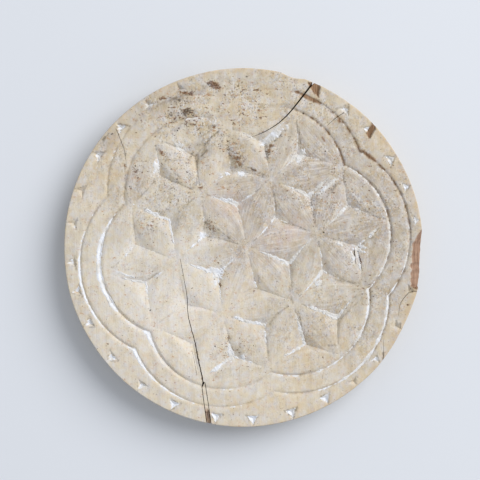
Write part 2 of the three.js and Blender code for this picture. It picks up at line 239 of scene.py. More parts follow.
# The grooves are V cuts. They have worn to faint lines at the top and run shallow in a few stretches, each
# given by its middle, its half-span and the share of the depth that is left.
INNER_SLIPS = [-2.5 - 1j, -1 - 2j, -1j, -0.7 - 0.7j, -0.2 + 1.3j, -0.4 + 2j]
OUTER_SLIPS = [-1.8 - 1j, -0.6 - 3j, 1 + 2.4j, -1.8 - 2.5j, -1 + 1.7j, 2.2j]
WEAR_STARTS, WEAR_ENDS, WORN_SHARE = (69, 73), (117, 99), 0.14
SHALLOW_STRETCHES = [(268, 30, 0.5), (48, 30, 0.5), (138, 34, 0.6)]
GROOVE_WEAR, GROOVE_RAGGED = 0.06, [(0.15, 9, 9, 3)]


def struck_groove(opening, slips, width, depth):
    """A groove round six circles, each struck from a point that slipped a little off its rosette."""
    centres = [FLOWER_CENTRE + around(k) + slip for k, slip in zip(ROSETTES, slips)]
    return SimpleNamespace(centres=centres, radius=opening, width=width, depth=depth)


INNER_GROOVE = struck_groove(COMPASS + FLOWER_MARGIN, INNER_SLIPS, width=4.2, depth=1.5)
OUTER_GROOVE = struck_groove(COMPASS + FLOWER_MARGIN + GROOVE_SPACING, OUTER_SLIPS, width=3.2, depth=1.2)
GROOVES = (INNER_GROOVE, OUTER_GROOVE)


def off_groove(groove, spot):
    """How far outside a groove's middle line a spot lies, or inside it where below 0."""
    return np.min([np.abs(spot - centre) for centre in groove.centres], axis=0) - groove.radius


def groove_keep(spot):
    """How much of a groove's depth wear has left."""
    degrees = bearing(spot)
    keep = 1 - (1 - WORN_SHARE) * rise(degrees, *WEAR_STARTS) * rise(degrees, *WEAR_ENDS)
    for middle, span, share in SHALLOW_STRETCHES:
        keep = np.minimum(keep, 1 - (1 - share) * rise(np.abs(off_angle(degrees, middle)), span, span / 2))
    return keep


def groove_depth(groove, spot):
    half = groove.width / 2 * (1 + uneven(spot, GROOVE_RAGGED))
    slope = 1 - np.abs(off_groove(groove, spot)) / half
    return groove.depth * worn(slope, GROOVE_WEAR) * groove_keep(spot)


def groove_cusp(groove, k):
    """Where the arc struck from one centre of a groove meets the next one."""
    here, after = groove.centres[k % 6], groove.centres[(k + 1) % 6]
    half = (after - here) / 2
    return here + half - 1j * half / abs(half) * math.sqrt(groove.radius ** 2 - abs(half) ** 2)


def groove_line(groove, k, step):
    """The middle line of one arc of a groove, from cusp to cusp."""
    centre = groove.centres[k]
    ends = [groove_cusp(groove, i) - centre for i in (k - 1, k)]
    sweep = np.angle(ends[1] / ends[0]) % (2 * np.pi)
    count = int(sweep * groove.radius / step)
    return centre + ends[0] * np.exp(1j * np.linspace(0, sweep, count))


# The notches: a row of small three-sided chips along the rim with the point outwards. They stand closer on
# one side than on the other, a few strayed along the rim, and five were lost at the top and the break.
NOTCH_COUNT, NOTCH_START, NOTCH_SPACING_DRIFT, NOTCH_CLOSEST_AT = 30, 9.6, 3, 150
NOTCH_SETBACK, NOTCH_LENGTH, NOTCH_WIDTH, NOTCH_DEPTH, NOTCH_TO_GROOVE = 1.2, 8, 10.5, 2.4, 0.4
NOTCH_WEAR = 0.05
LOST_NOTCHES = {5, 6, 7, 8, 29}
NOTCH_STRAY = {2: -1.1, 4: -1.1, 13: 1, 15: 0.7, 16: -2, 17: -3.1, 18: -2, 19: -1, 20: -1.1, 21: 1.2,
               22: 0.9, 23: 1.6, 24: 1.4, 26: -1.7, 27: -0.9}


def outer_groove_reach(degrees):
    ray = polar(1, degrees)
    centres = [(FLOWER_CENTRE + around(k)) * np.conj(ray) for k in ROSETTES]
    return max(c.real + math.sqrt(OUTER_GROOVE.radius ** 2 - c.imag ** 2) for c in centres)


def rim_notch(i):
    even = NOTCH_START + 360 * i / NOTCH_COUNT
    drift = NOTCH_SPACING_DRIFT * (1 + math.cos(math.radians(even - NOTCH_CLOSEST_AT)))
    angle = even - drift + NOTCH_STRAY.get(i, 0)
    point = RADIUS - NOTCH_SETBACK
    base = max(point - NOTCH_LENGTH, outer_groove_reach(angle) + OUTER_GROOVE.width / 2 + NOTCH_TO_GROOVE)
    size = math.sqrt((point - base) / NOTCH_LENGTH)
    side = polar(NOTCH_WIDTH / 2 * size, angle + 90)
    foot = polar(base, angle)
    corners = (polar(point, angle), foot + side, foot - side)
    deepest = polar(base + (point - base) / 3, angle)
    return SimpleNamespace(index=i, corners=corners, deepest=deepest, depth=NOTCH_DEPTH * size)


notches = [rim_notch(i) for i in range(NOTCH_COUNT) if i not in LOST_NOTCHES]


def notch_share(notch, spot):
    """1 at a notch's deepest point, 0 on its edge, and below 0 outside it."""
    facets = []
    for i in range(3):
        start, end = notch.corners[i], notch.corners[(i + 1) % 3]
        inward = 1j * (end - start) / abs(end - start)
        run = ((notch.deepest - start) * np.conj(inward)).real
        facets.append(((spot - start) * np.conj(inward)).real / run)
    return np.min(facets, axis=0)


# Splits, cracks and damage. A crack is a V cut along its bends. It is given by those, its width at the tip
# and at its other end, and its depth at both. Rubbed patches and other soft oval marks are given by their
# middle, half-sizes, lean and strength.
LONG_SPLIT_BENDS = [-49 - 9j, -44.2 - 36j, -42.8 - 54j, -38.3 - 72j]
LONG_SPLIT_MOUTH_AT, LONG_SPLIT_HEADING = 259, 278
SPLIT_TIP_WIDTH, SPLIT_MOUTH_WIDTH, SPLIT_RAGGED, SPLIT_RAG_STEP = 0.25, 0.85, 0.18, 2.5
SLIVER_LENGTH, SLIVER_TIP_WIDTH, SLIVER_WIDTH, SLIVER_GAP = 33, 2.3, 3.1, 0.5
SHORT_SPLIT_BENDS = [2.5 + 85j, 16.3 + 90j, 33.2 + 102j, polar(RADIUS, 67)]
SHORT_SPLIT = (SHORT_SPLIT_BENDS, 0.15, 1.7, 1, 14)
CRACKS = [
    SHORT_SPLIT,
    ([-91 + 62j, -92.5 + 75j, -99 + 92j], 0.3, 0.6, 0.3, 0.9),
    ([120.8 - 52.6j, 122.5 - 43.2j, 129.3 - 35j, 135 - 34.2j], 0.3, 0.7, 0.3, 1),
    ([109 - 71j, 109 - 80j, 109 - 86.5j], 0.2, 0.5, 0.15, 0.8),
    ([66.2 + 95.8j, 72.8 + 101.4j, 77.4 + 104.3j], 0.4, 0.6, 0.5, 0.9),
    ([87.6 - 12.5j, 87 - 7.5j, 86.4 - 2.5j], 0.4, 1.3, 0.6, 2.2),
    ([92.6 - 18j, 91 - 11j, 89.4 - 3j], 0.3, 1, 0.4, 1.6),
    ([-40.1 - 80.2j, -38.3 - 88j, -36.2 - 99j], 0.2, 0.45, 0.2, 0.7),
]
CRACK_STEP, WOOD_UNDER_CRACK = 2, 2
BREAK_RAGGED = [(0.7, 60, 3.5, 4), (0.35, 60, 1.3, 5)]
BREAK_FIBRES = [(0.35, 1.1, 16, 6), (0.2, 0.8, 5, 7)]
NICK_AT, NICK_LENGTH, NICK_WIDTH, NICK_DEPTH, NICK_SKEW = 42.5, 10.5, 4.5, 2, 0.35
NICK_LIP, NICK_STAIN = ((-0.2, 0.3), (0.15, -0.25)), ((-0.3, 0.4), (0.3, -0.3))
FLAKE = SimpleNamespace(corners=(58.5 + 115j, 61 + 130j, 49.5 + 128j), deepest=55 + 127j, depth=2,
                        steepness=4)
HOLLOW_AT, HOLLOW_ACROSS, HOLLOW_UP, HOLLOW_DEPTH = 4 + 108j, 52, 34, 1.3
HOLLOW_EDGE, HOLLOW_EDGE_STEP = [-60 + 62j, -25 + 80j, *SHORT_SPLIT_BENDS], 4
HOLLOW_RIDGES, HOLLOW_SIDES, HOLLOW_LIP = [(0.22, 34, 2.6, 12)], (1, 0.35), (-0.3, 3)
FACE_SINK, FACE_WAVES = 0.22, [(0.14, 26, 40, 9), (0.08, 7, 18, 10)]
KNIFE_WOBBLE = [(0.1, 5, 12, 8)]
CHIP_DEPTH_LEFT, RUBBED_WEAR, HOLLOW_WEAR = 0.86, 0.12, 0.5
RUBBED_PATCHES = [
    (-62 - 42j, 60, 52, 20, 1), (-8 + 62j, 30, 26, 0, 0.3), (-55 + 50j, 40, 40, 0, 0.15),
    (20 - 60j, 60, 40, 0, 0.4), (14 - 30j, 14, 12, -20, 1.3), (86 + 36j, 10, 14, 0, 0.9),
    (55 - 74j, 12, 10, -40, 0.9),
]


def flowing(bends, step):
    """A smooth line through its bends, with a point every step."""
    padded = np.array([bends[0], *bends, bends[-1]])
    runs = []
    for before, start, end, after in zip(padded, padded[1:], padded[2:], padded[3:]):
        t = np.linspace(0, 1, max(2, int(abs(end - start) / step) + 1))[:-1]
        leave, arrive = (end - before) / 2, (after - start) / 2
        turn = (2 * t ** 3 - 3 * t ** 2 + 1) * start + (t ** 3 - 2 * t ** 2 + t) * leave
        runs.append(turn + (3 * t ** 2 - 2 * t ** 3) * end + (t ** 3 - t ** 2) * arrive)
    return np.append(np.concatenate(runs), bends[-1])


def nearest_on(line, spot):
    """How far each spot lies from a line, and how far along the line its nearest point is, from 0 to 1."""
    least = np.full(spot.shape, np.inf)
    place = np.zeros(spot.shape)
    for i, (start, end) in enumerate(zip(line, line[1:])):
        run = end - start
        share = np.clip(((spot - start) * np.conj(run)).real / abs(run) ** 2, 0, 1)
        gap = np.abs(spot - start - share * run)
        closer = gap < least
        least = np.where(closer, gap, least)
        place = np.where(closer, (i + share) / (len(line) - 1), place)
    return least, place


def crack_depth(crack, spot):
    bends, tip, end, tip_depth, end_depth = crack
    line = flowing(bends, CRACK_STEP)
    near = np.abs(spot - line.mean()) < np.abs(line - line.mean()).max() + end
    depth = np.zeros(spot.shape)
    gap, place = nearest_on(line, spot[near])
    half = (tip + (end - tip) * place) / 2
    deep = tip_depth + (end_depth - tip_depth) * place
    depth[near] = deep * np.clip(1 - gap / half, 0, 1)
    return depth


def deepest_crack(spot):
    return np.max([crack_depth(crack, spot) for crack in CRACKS], axis=0)


def crack_lines(crack, step):
    """The middle and the two edges of a crack."""
    bends, tip, end, *_ = crack
    middle = flowing(bends, step)
    heading = np.gradient(middle)
    side = 1j * heading / np.abs(heading)
    half = np.linspace(tip, end, len(middle)) / 2
    return [middle, middle + side * half, middle - side * half]


def nick_share(spot, inner_end, sides):
    """How far a spot lies in the nick, which comes in softly at its inner end and at its sides."""
    turned = spot * polar(1, -NICK_AT)
    out = turned.real - (RADIUS - NICK_LENGTH)
    off = turned.imag - NICK_SKEW * (out - NICK_LENGTH / 2)
    return rise(out, *inner_end) * rise(np.abs(off) - NICK_WIDTH / 2, *sides)


def break_depth(spot):
    """The facet left where the edge broke off: it falls from a ragged line and runs out at its upper end."""
    out, along = break_frame(spot)
    taper = np.clip((along - BREAK_LENGTH / 2 + BREAK_TAPER) / BREAK_TAPER, 0, 1)
    start = RADIUS - BREAK_WIDTH * (1 - taper) + uneven(spot, BREAK_RAGGED)
    slope = BREAK_DEPTH / (BREAK_WIDTH - BREAK_BITE)
    fall = np.clip((out - start) * slope + uneven(spot, BREAK_FIBRES), 0, BREAK_DEPTH)
    lower_end = rise(along + BREAK_LENGTH / 2, *BREAK_LOWER_END)
    return np.where((out > start) & (np.abs(along) < BREAK_LENGTH / 2 + BREAK_OVERRUN), fall * lower_end, 0)


def flake_depth(spot):
    """The little wedge that flaked off beside the mouth of the short split."""
    return FLAKE.depth * np.clip(FLAKE.steepness * notch_share(FLAKE, spot), 0, 1)


def hollow_share(spot):
    """Where the top of the face has worn hollow, left of the short split."""
    off = spot - HOLLOW_AT
    away = np.hypot(off.real / HOLLOW_ACROSS, off.imag / HOLLOW_UP)
    line = flowing(HOLLOW_EDGE, HOLLOW_EDGE_STEP)
    _, place = nearest_on(line, spot)
    ahead = np.interp(place, np.linspace(0, 1, len(line)), np.arange(len(line))).astype(int)
    ahead = np.clip(ahead, 0, len(line) - 2)
    over = np.imag((spot - line[ahead]) * np.conj(line[ahead + 1] - line[ahead]))
    return rise(away, *HOLLOW_SIDES) * rise(over, *HOLLOW_LIP)


def blots(spot, marks):
    """How strongly soft oval marks, each given by its middle, half-sizes, lean and strength, cover a spot."""
    cover = np.zeros(spot.shape)
    for middle, along, across, lean, *strength in marks:
        turned = (spot - middle) * polar(1, -lean)
        mark = np.exp(-(turned.real / along) ** 2 - (turned.imag / across) ** 2)
        cover = np.maximum(cover, mark * (strength[0] if strength else 1))
    return cover


# Beetle holes and specks lie in clusters, thickest at the upper left and the top.
BEETLE_HOLES, SMALLEST_HOLE, LARGEST_HOLE, HOLE_DEPTH, HOLE_FLOOR, HOLE_TO_RIM = 46, 0.4, 0.85, 1.3, 0.3, 8
HOLE_TRIES = 4 * BEETLE_HOLES
FEWEST_SPECKS, SPECK_GAPS = 0.06, ([(1, 7, 9, 18), (0.6, 3, 3, 19)], -0.9, 0.7)
SPECK_CLUSTERS = [
    (-40 + 100j, 42, 20, 0, 0.85), (0 + 122j, 50, 9, 0, 0.6), (8 + 104j, 14, 8, 0, 0.9),
    (-10 + 76j, 16, 14, 0, 0.8), (-45 + 60j, 26, 20, -30, 0.6), (-57 + 38j, 16, 5, -10, 0.8),
    (-74 + 17j, 8, 7, 0, 0.9), (-82 + 58j, 8, 12, 0, 0.85), (-95 + 45j, 5, 8, 0, 0.6),
    (62 + 70j, 24, 20, 0, 0.45), (40 + 80j, 20, 14, 0, 0.5), (20 + 75j, 9, 6, 0, 0.8),
    (85 + 45j, 20, 18, 0, 0.35), (118 + 55j, 8, 20, 0, 0.5), (-52 + 12j, 12, 8, 0, 0.4),
    (-20 - 18j, 8, 10, 0, 0.75), (-8 - 78j, 12, 12, 0, 0.85), (-70 - 22j, 14, 8, 0, 0.4),
    (70 - 80j, 18, 7, 30, 0.6), (86 - 12j, 6, 10, 0, 0.6), (100 + 20j, 14, 40, 0, 0.4),
    (120 + 4j, 10, 50, 0, 0.45), (62 + 48j, 30, 24, 0, 0.55), (96 - 30j, 12, 20, 0, 0.5),
]


def speckle_share(spot):
    return at_least(FEWEST_SPECKS, blots(spot, SPECK_CLUSTERS) * patchy(spot, *SPECK_GAPS))


rng = np.random.default_rng(11)
hole_reach = np.sqrt(rng.uniform(0, 1, HOLE_TRIES)) * (RADIUS - HOLE_TO_RIM)
hole_spots = polar(hole_reach, rng.uniform(0, 360, HOLE_TRIES))
keep_hole = rng.uniform(0, 1, HOLE_TRIES) < speckle_share(hole_spots)
hole_spots = hole_spots[keep_hole][:BEETLE_HOLES]
hole_sizes = rng.uniform(SMALLEST_HOLE, LARGEST_HOLE, len(hole_spots))


def hole_depth(spot):
    depth = np.zeros(spot.shape)
    for hole, size in zip(hole_spots, hole_sizes):
        near = np.abs(spot - hole) < size
        fall = rise(np.abs(spot[near] - hole), size, HOLE_FLOOR * size)
        depth[near] = np.maximum(depth[near], HOLE_DEPTH * size * fall)
    return depth


def cut_depth(spot):
    """How deep the knife went at each spot."""
    wear = (1 - RUBBED_WEAR * blots(spot, RUBBED_PATCHES)) * (1 - HOLLOW_WEAR * hollow_share(spot))
    chip = np.max([worn(chip_share(c, spot), RIDGE_WEAR) for c in chips], axis=0)
    chip = CHIP_DEPTH_LEFT * CHIP_DEPTH * chip * wear * (1 + uneven(spot, KNIFE_WOBBLE))
    notch = np.max([n.depth * worn(notch_share(n, spot), NOTCH_WEAR) for n in notches], axis=0)
    return np.max([chip, notch, *[groove_depth(groove, spot) for groove in GROOVES]], axis=0)


def face_depth(spot):
    """How far each spot of the carved face lies below the plank's top."""
    depth = FACE_SINK + uneven(spot, FACE_WAVES)
    depth = depth + hollow_share(spot) * (HOLLOW_DEPTH + uneven(spot, HOLLOW_RIDGES))
    depth = depth + edge_drop(spot) + cut_depth(spot) + hole_depth(spot)
    nick = NICK_DEPTH * nick_share(spot, *NICK_LIP)
    depth = np.max([depth, nick, break_depth(spot), flake_depth(spot)], axis=0)
    return np.minimum(depth + deepest_crack(spot), THICKNESS - EDGE_RADIUS - WOOD_UNDER_CRACK)


# The long split's two walls, and the pocket between its two strands, where a sliver stands loose.
LINE_STEP, FORK_SKEW, WALL_TO_RIM = 0.7, 3.5, 0.6
SPLIT_TIP_REACH, SPLIT_TIP_HEADING, SPLIT_MOUTH_GAP = 0.6, 100, 0.12
mouth = polar(RADIUS, LONG_SPLIT_MOUTH_AT)
heading = polar(1, LONG_SPLIT_HEADING)
fork = mouth - SLIVER_LENGTH * heading


def split_walls():
    """The two walls of the long split, from its tip to the rim."""
    strand = flowing([*LONG_SPLIT_BENDS, fork], LINE_STEP)
    side = np.gradient(strand)
    side = 1j * side / np.abs(side)
    half = np.linspace(SPLIT_TIP_WIDTH, SPLIT_MOUTH_WIDTH, len(strand)) / 2
    strand = strand + side * SPLIT_RAGGED * unevenness(strand, SPLIT_RAG_STEP, SPLIT_RAG_STEP, 13)
    along = np.arange(LINE_STEP, SLIVER_LENGTH - SLIVER_GAP, LINE_STEP)
    pocket_half = SLIVER_GAP + np.interp(along, [0, SLIVER_LENGTH + EDGE_RADIUS],
                                         [SLIVER_TIP_WIDTH / 2, SLIVER_WIDTH / 2])
    pocket = fork + heading * along
    walls = []
    for sign, skew in ((-1, FORK_SKEW), (1, 0)):
        wall = (pocket + sign * 1j * heading * pocket_half)[along > skew]
        walls.append(np.concatenate([strand + sign * side * half, wall]))
    return [wall[inset(wall) > WALL_TO_RIM] for wall in walls]


west_wall, east_wall = split_walls()
tip_spot = LONG_SPLIT_BENDS[0] + SPLIT_TIP_REACH * polar(1, SPLIT_TIP_HEADING)


def meets_rim(wall):
    """The direction from the middle of the board in which a wall of the split comes out at the rim."""
    slant = math.cos(math.radians(LONG_SPLIT_HEADING - LONG_SPLIT_MOUTH_AT))
    return bearing(wall[-1] + heading * inset(wall[-1:])[0] / slant)


def board_outline(step):
    """The plank's outline, run round the rim and in and out along the two walls of the long split."""
    rim = np.linspace(meets_rim(east_wall), meets_rim(west_wall) + 360, int(2 * np.pi * RADIUS / step))
    split_mouth = np.degrees(np.angle([line[-1] for line in crack_lines(SHORT_SPLIT, step)])) + 360
    rim = rim[np.min(np.abs(rim[:, None] - split_mouth), axis=1) > SPLIT_MOUTH_GAP]
    rim = np.sort(np.concatenate([rim, split_mouth]))
    return np.concatenate([polar(rim_reach(rim % 360), rim), west_wall[::-1], [tip_spot], east_wall])


# The plank's body: one closed skin, triangulated finely where the knife has been and coarsely elsewhere, with
# its edges along the cuts. Knife marks run down its rim, and its back waves a little.
FACE_STEP, BACK_STEP, RIM_STEP, STROKE_STEP, STROKE_CELL, MERGE_WITHIN = 0.76, 3.2, 0.9, 0.5, 0.8, 1e-5
CREASE_STEPS, NOTCH_STEPS, WALL_ROWS, RING_SPOTS, HOLE_SPOTS = 40, 9, 9, 900, 8
RING_GAP, FACE_GAP, HOLE_GAP, DIRT_GAP, BACK_GAP, SPLIT_GAP, CRACK_GAP = 0.4, 0.42, 0.5, 0.4, 1.2, 0.8, 0.5
FACE_TO_HOLE, FACE_TO_DIRT, FACE_TO_EDGE, BACK_TO_EDGE, CARVED_FROM = 0.35, 0.3, 0.5, 1, 0.12
EDGE_RINGS = EDGE_RADIUS * (1 - np.sin(np.radians(np.arange(0, 90, 15))))
SHARP_ANGLE = 20
KNIFE_MARK_DEPTH, KNIFE_MARKS, RIM_SKIN = 0.3, [(1, 4, 9, 14)], 1
BACK_WAVE_DEPTH, BACK_WAVES = 0.06, [(1, 30, 45, 15)]


def hexagonal(reach, step):
    """Spots in a honeycomb over a square, with a mark on each fourth, which make one twice as wide."""
    count = int(reach / step) + 2
    rows = int(reach / (step * math.sqrt(0.75))) + 2
    j, i = np.mgrid[-rows:rows + 1, -count:count + 1]
    spot = step * (i + 0.5 * (j % 2)) + 1j * step * j * math.sqrt(0.75)
    wide = (j % 2 == 0) & ((i + j // 2) % 2 == 0)
    return spot.ravel(), wide.ravel()


def clear_of(spot, others, gap):
    """Which spots have none of the others in their own or a neighbouring square of a grid."""
    taken = set()
    cells = np.stack([np.floor(others.real / gap), np.floor(others.imag / gap)], 1).astype(int)
    for right in (-1, 0, 1):
        for up in (-1, 0, 1):
            taken.update(map(tuple, cells + (right, up)))
    own = np.stack([np.floor(spot.real / gap), np.floor(spot.imag / gap)], 1).astype(int)
    return np.array([tuple(cell) not in taken for cell in own])


def inside(outline, spot):
    """Which spots lie inside an outline: those that an odd number of its sides pass to the right of."""
    odd = np.zeros(spot.shape, bool)
    for start, end in zip(outline, np.roll(outline, -1)):
        if start.imag != end.imag:
            crosses = (spot.imag >= min(start.imag, end.imag)) & (spot.imag < max(start.imag, end.imag))
            level = spot[crosses]
            passes = start.real + (level.imag - start.imag) * (end - start).real / (end - start).imag
            odd[crosses] ^= level.real < passes
    return odd


def pairs(spots):
    return [(float(s.real), float(s.imag)) for s in spots]


def triangulate(outline, lines, scatter):
    """Triangles over the spots inside an outline, with edges along the lines."""
    spots = [outline]
    edges = [(i, (i + 1) % len(outline)) for i in range(len(outline))]
    total = len(outline)
    for line in lines:
        edges += [(total + i, total + i + 1) for i in range(len(line) - 1)]
        spots.append(line)
        total += len(line)
    spots = np.concatenate([*spots, scatter])
    made, _, faces, *_ = delaunay_2d_cdt(pairs(spots), edges, [], 1, MERGE_WITHIN, False)
    made = np.array([complex(*v) for v in made])
    faces = np.array(faces)
    faces = faces[inside(outline, made[faces].mean(axis=1))]
    used, faces = np.unique(faces, return_inverse=True)
    return made[used], faces.reshape(-1, 3)


def open_sides(faces):
    """The sides that only one triangle has, each as its two corners."""
    sides = np.concatenate([faces[:, [0, 1]], faces[:, [1, 2]], faces[:, [2, 0]]])
    there = set(map(tuple, sides))
    return [side for side in there if side[::-1] not in there]


def boundary(faces):
    """The corners round the outside of some triangles, in order."""
    after = dict(open_sides(faces))
    loop = [next(iter(after))]
    while loop[-1] in after:
        loop.append(after.pop(loop[-1]))
    return np.array(loop[:-1])


def mesh_piece(name, places, faces, measures):
    """An object from places in millimetres and triangles, with a number per corner for each measure."""
    mesh = bpy.data.meshes.new(name)
    mesh.from_pydata((places * MM).tolist(), [], faces.tolist())
    for title, values in measures.items():
        mesh.attributes.new(title, "FLOAT", "POINT").data.foreach_set("value", values.astype(np.float32))
    mesh.shade_smooth()
    mesh.set_sharp_from_angle(angle=math.radians(SHARP_ANGLE))
    piece = bpy.data.objects.new(name, mesh)
    bpy.context.scene.collection.objects.link(piece)
    return piece


def at_height(spot, height):
    return np.stack([spot.real, spot.imag, height], 1)


def slab(outline, lines, scatter, back_scatter, top, bottom, wander):
    """Places, triangles and a mark on the top's corners for a body with upright sides."""
    spot, faces = triangulate(outline, lines, scatter)
    loop = boundary(faces)
    edge = spot[loop]
    back_spot, back_faces = triangulate(edge, [], back_scatter)
    back_loop = boundary(back_faces)
    first = np.argmin(np.abs(back_spot[back_loop] - edge[0]))
    places = [at_height(spot, top(spot)), at_height(back_spot, bottom(back_spot))]
    rows = [loop]
    upper, lower = top(edge), bottom(edge)
    count = len(spot) + len(back_spot)
    for row in range(1, WALL_ROWS):
        share = row / WALL_ROWS
        height = upper + (lower - upper) * share
        places.append(at_height(edge - wander(edge, height) * math.sin(math.pi * share), height))
        rows.append(count + np.arange(len(loop)))
        count += len(loop)
    rows.append(len(spot) + np.roll(back_loop, -first))
    skin = [faces, len(spot) + back_faces[:, ::-1]]
    for over, under in zip(rows, rows[1:]):
        over_next, under_next = np.roll(over, -1), np.roll(under, -1)
        skin += [np.stack([over, under, over_next], 1), np.stack([over_next, under, under_next], 1)]
    on_face = np.arange(count) < len(spot)
    return np.concatenate(places), np.concatenate(skin), on_face


def rim_wander(spot, height):
    """Knife marks down the rim, which lean its surface in by a little."""
    outward = np.where(inset(spot) < RIM_SKIN, spot / np.abs(spot), 0)
    degrees = np.degrees(np.angle(spot))
    return outward * KNIFE_MARK_DEPTH * (1 + uneven(degrees + 1j * height, KNIFE_MARKS)) / 2


def back_height(spot):
    return edge_drop(spot) + BACK_WAVE_DEPTH * (1 + uneven(spot, BACK_WAVES))


def plank_lines():
    """The creases of the cuts and the cracks, which the mesh's edges follow, clear of the long split."""
    lines = [chip_valley(chip, corner, CREASE_STEPS) for chip in chips for corner in range(3)]
    lines += [groove_line(groove, k, LINE_STEP) for groove in GROOVES for k in ROSETTES]
    for notch in notches:
        lines += [np.linspace(corner, notch.deepest, NOTCH_STEPS) for corner in notch.corners]
    walls = np.concatenate([west_wall, east_wall])
    short_split = crack_lines(SHORT_SPLIT, LINE_STEP)
    cracks = [line for crack in CRACKS[1:] for line in crack_lines(crack, LINE_STEP)]
    all_cracks = np.concatenate([*short_split, *cracks])
    kept = []
    for line in lines:
        clear = clear_of(line, walls, SPLIT_GAP) & clear_of(line, all_cracks, CRACK_GAP)
        clear &= inset(line) > SPLIT_GAP
        for run in np.split(np.arange(len(line)), np.flatnonzero(np.diff(clear.astype(int))) + 1):
            if clear[run[0]] and len(run) > 2:
                kept.append(line[run])
    return kept + [line[:-1] for line in short_split] + cracks


# Dark strokes in bare creases, scratches and knife slips: dirt, with painted shade where they follow creases.
# Each is given by its two ends, half its width and a strength.
SHADE_AND_DIRT_STROKES = [
    (24 + 43.5j, 26.2 + 26.8j, 0.8, 0.7), (30.7 + 20.2j, 49.5 + 13j, 0.9, 0.8),
    (-21.5 + 15.8j, -4.9 + 2.4j, 0.8, 0.75), (5.7 - 12.1j, 9.6 - 28.7j, 0.5, 0.5),
    (12.4 - 21j, 11.3 - 29.8j, 0.7, 0.55), (-1.6 - 35.9j, 7.4 - 31.5j, 0.4, 0.3),
    (7.4 - 31.5j, 19.6 - 34.2j, 0.5, 0.55), (36.2 - 32j, 38.5 - 43.2j, 1, 0.5),
    (17.3 - 67.6j, 19.8 - 85.3j, 0.8, 0.5), (20.7 - 59.8j, 30.7 - 46.4j, 1.2, 0.5),
    (42.7 - 50.3j, 45.1 - 59.8j, 0.8, 0.75), (45.1 - 59.8j, 49 - 75.3j, 0.6, 0.55),
    (49 - 76.4j, 58.5 - 77j, 0.6, 0.35), (60.5 - 77j, 72.9 - 75.6j, 0.9, 0.6),
    (73.5 - 57.5j, 75.7 - 74.3j, 0.5, 0.3), (76.2 - 55.4j, 89 - 42.5j, 0.8, 0.5),
    (71.8 - 25.3j, 90.7 - 28.1j, 0.9, 0.55), (86.2 + 29.1j, 109.5 + 22.4j, 0.7, 0.5),
    (66.2 + 40.2j, 72.9 + 50.1j, 1.1, 0.75), (52.9 + 34.6j, 55.7 + 19j, 0.9, 0.7),
    (42.9 + 93.5j, 44.6 + 81.2j, 0.9, 0.9), (24 + 82.4j, 33.4 + 91.8j, 0.9, 0.9),
    (17.3 + 79.1j, 19.4 + 69j, 1, 0.9), (4 + 62.4j, 17.3 + 55.7j, 1, 0.85),
    (-12.7 + 80.2j, -9.5 + 70j, 1, 0.7), (-35.3 + 72j, -36.6 + 47.9j, 0.6, 0.7),
    (-32.6 + 71.3j, -28.2 + 75.7j, 1.1, 1), (-54.8 + 53.5j, -45.4 + 47.4j, 0.6, 0.5),
    (-53.7 + 57.9j, -48.2 + 53.5j, 0.5, 0.5), (-92 + 74.6j, -92 + 64j, 0.6, 0.8),
    (-92 + 64j, -91.5 + 45.7j, 0.7, 0.6), (-91.5 + 45.7j, -87.6 + 34.6j, 0.6, 0.55),
    (-88.2 + 32j, -85.4 + 16.9j, 0.5, 0.4), (-74.9 - 25.3j, -64.8 - 18.7j, 1, 0.55),
    (-76 - 29.8j, -76 - 45.3j, 0.7, 0.35), (-96.5 + 94j, -87.6 + 94.6j, 0.8, 0.85),
    (-109.3 + 83.5j, -104.3 + 89j, 0.8, 0.85), (-27 + 94j, -22 + 94.6j, 0.8, 0.7),
    (121.8 - 56.4j, 122.3 - 63.1j, 0.5, 0.8), (122.3 - 63.1j, 124.6 - 63.7j, 0.5, 0.7),
    (132.2 - 27.5j, 135.5 - 31.5j, 1, 1), (135 - 27j, 134 - 31j, 0.7, 1),
    (108.8 - 82j, 108.8 - 88j, 0.8, 0.8), (86 - 2j, 101 + 8j, 1, 0.5),
]


def near_strokes(step):
    """Three rows of spots along each dark stroke, one to a cell where strokes meet."""
    rows = []
    for start, end, *_ in SHADE_AND_DIRT_STROKES:
        along = np.arange(0, abs(end - start), step)
        rows += [start + (end - start) / abs(end - start) * (along + 1j * off) for off in (-step, 0, step)]
    spot = np.concatenate(rows)
    cells = np.round(np.stack([spot.real, spot.imag], 1) / (STROKE_CELL * step))
    return spot[np.unique(cells, axis=0, return_index=True)[1]]


outline = board_outline(RIM_STEP)
lines = plank_lines()
drawn = np.concatenate([*lines, outline])
ring_turn = np.linspace(0, 360, RING_SPOTS, endpoint=False)
rings = np.concatenate([polar(rim_reach(ring_turn) - drop, ring_turn) for drop in EDGE_RINGS])
rings = rings[clear_of(rings, np.concatenate([*lines, west_wall, east_wall]), RING_GAP)]
near_holes = np.append(polar(1, np.arange(HOLE_SPOTS) * 360 / HOLE_SPOTS), 0)
near_holes = (hole_spots[:, None] + hole_sizes[:, None] * near_holes).ravel()
near_holes = near_holes[clear_of(near_holes, drawn, HOLE_GAP)]
near_dirt = near_strokes(STROKE_STEP)
near_dirt = near_dirt[clear_of(near_dirt, np.concatenate([drawn, near_holes]), DIRT_GAP)]
spots, wide = hexagonal(RADIUS, FACE_STEP)
carved = (cut_depth(spots) > CARVED_FROM) | (break_depth(spots) > 0)
scatter = spots[(inset(spots) > EDGE_RADIUS + FACE_TO_EDGE) & (carved | wide)]
scatter = scatter[clear_of(scatter, np.append(drawn, tip_spot), FACE_GAP)]
scatter = scatter[clear_of(scatter, near_holes, FACE_TO_HOLE) & clear_of(scatter, near_dirt, FACE_TO_DIRT)]
scatter = np.concatenate([scatter, near_holes, near_dirt, rings])
back_spots, _ = hexagonal(RADIUS, BACK_STEP)
back_spots = back_spots[inset(back_spots) > EDGE_RADIUS + BACK_TO_EDGE]
back_spots = np.concatenate([back_spots[clear_of(back_spots, outline, BACK_GAP)], rings])
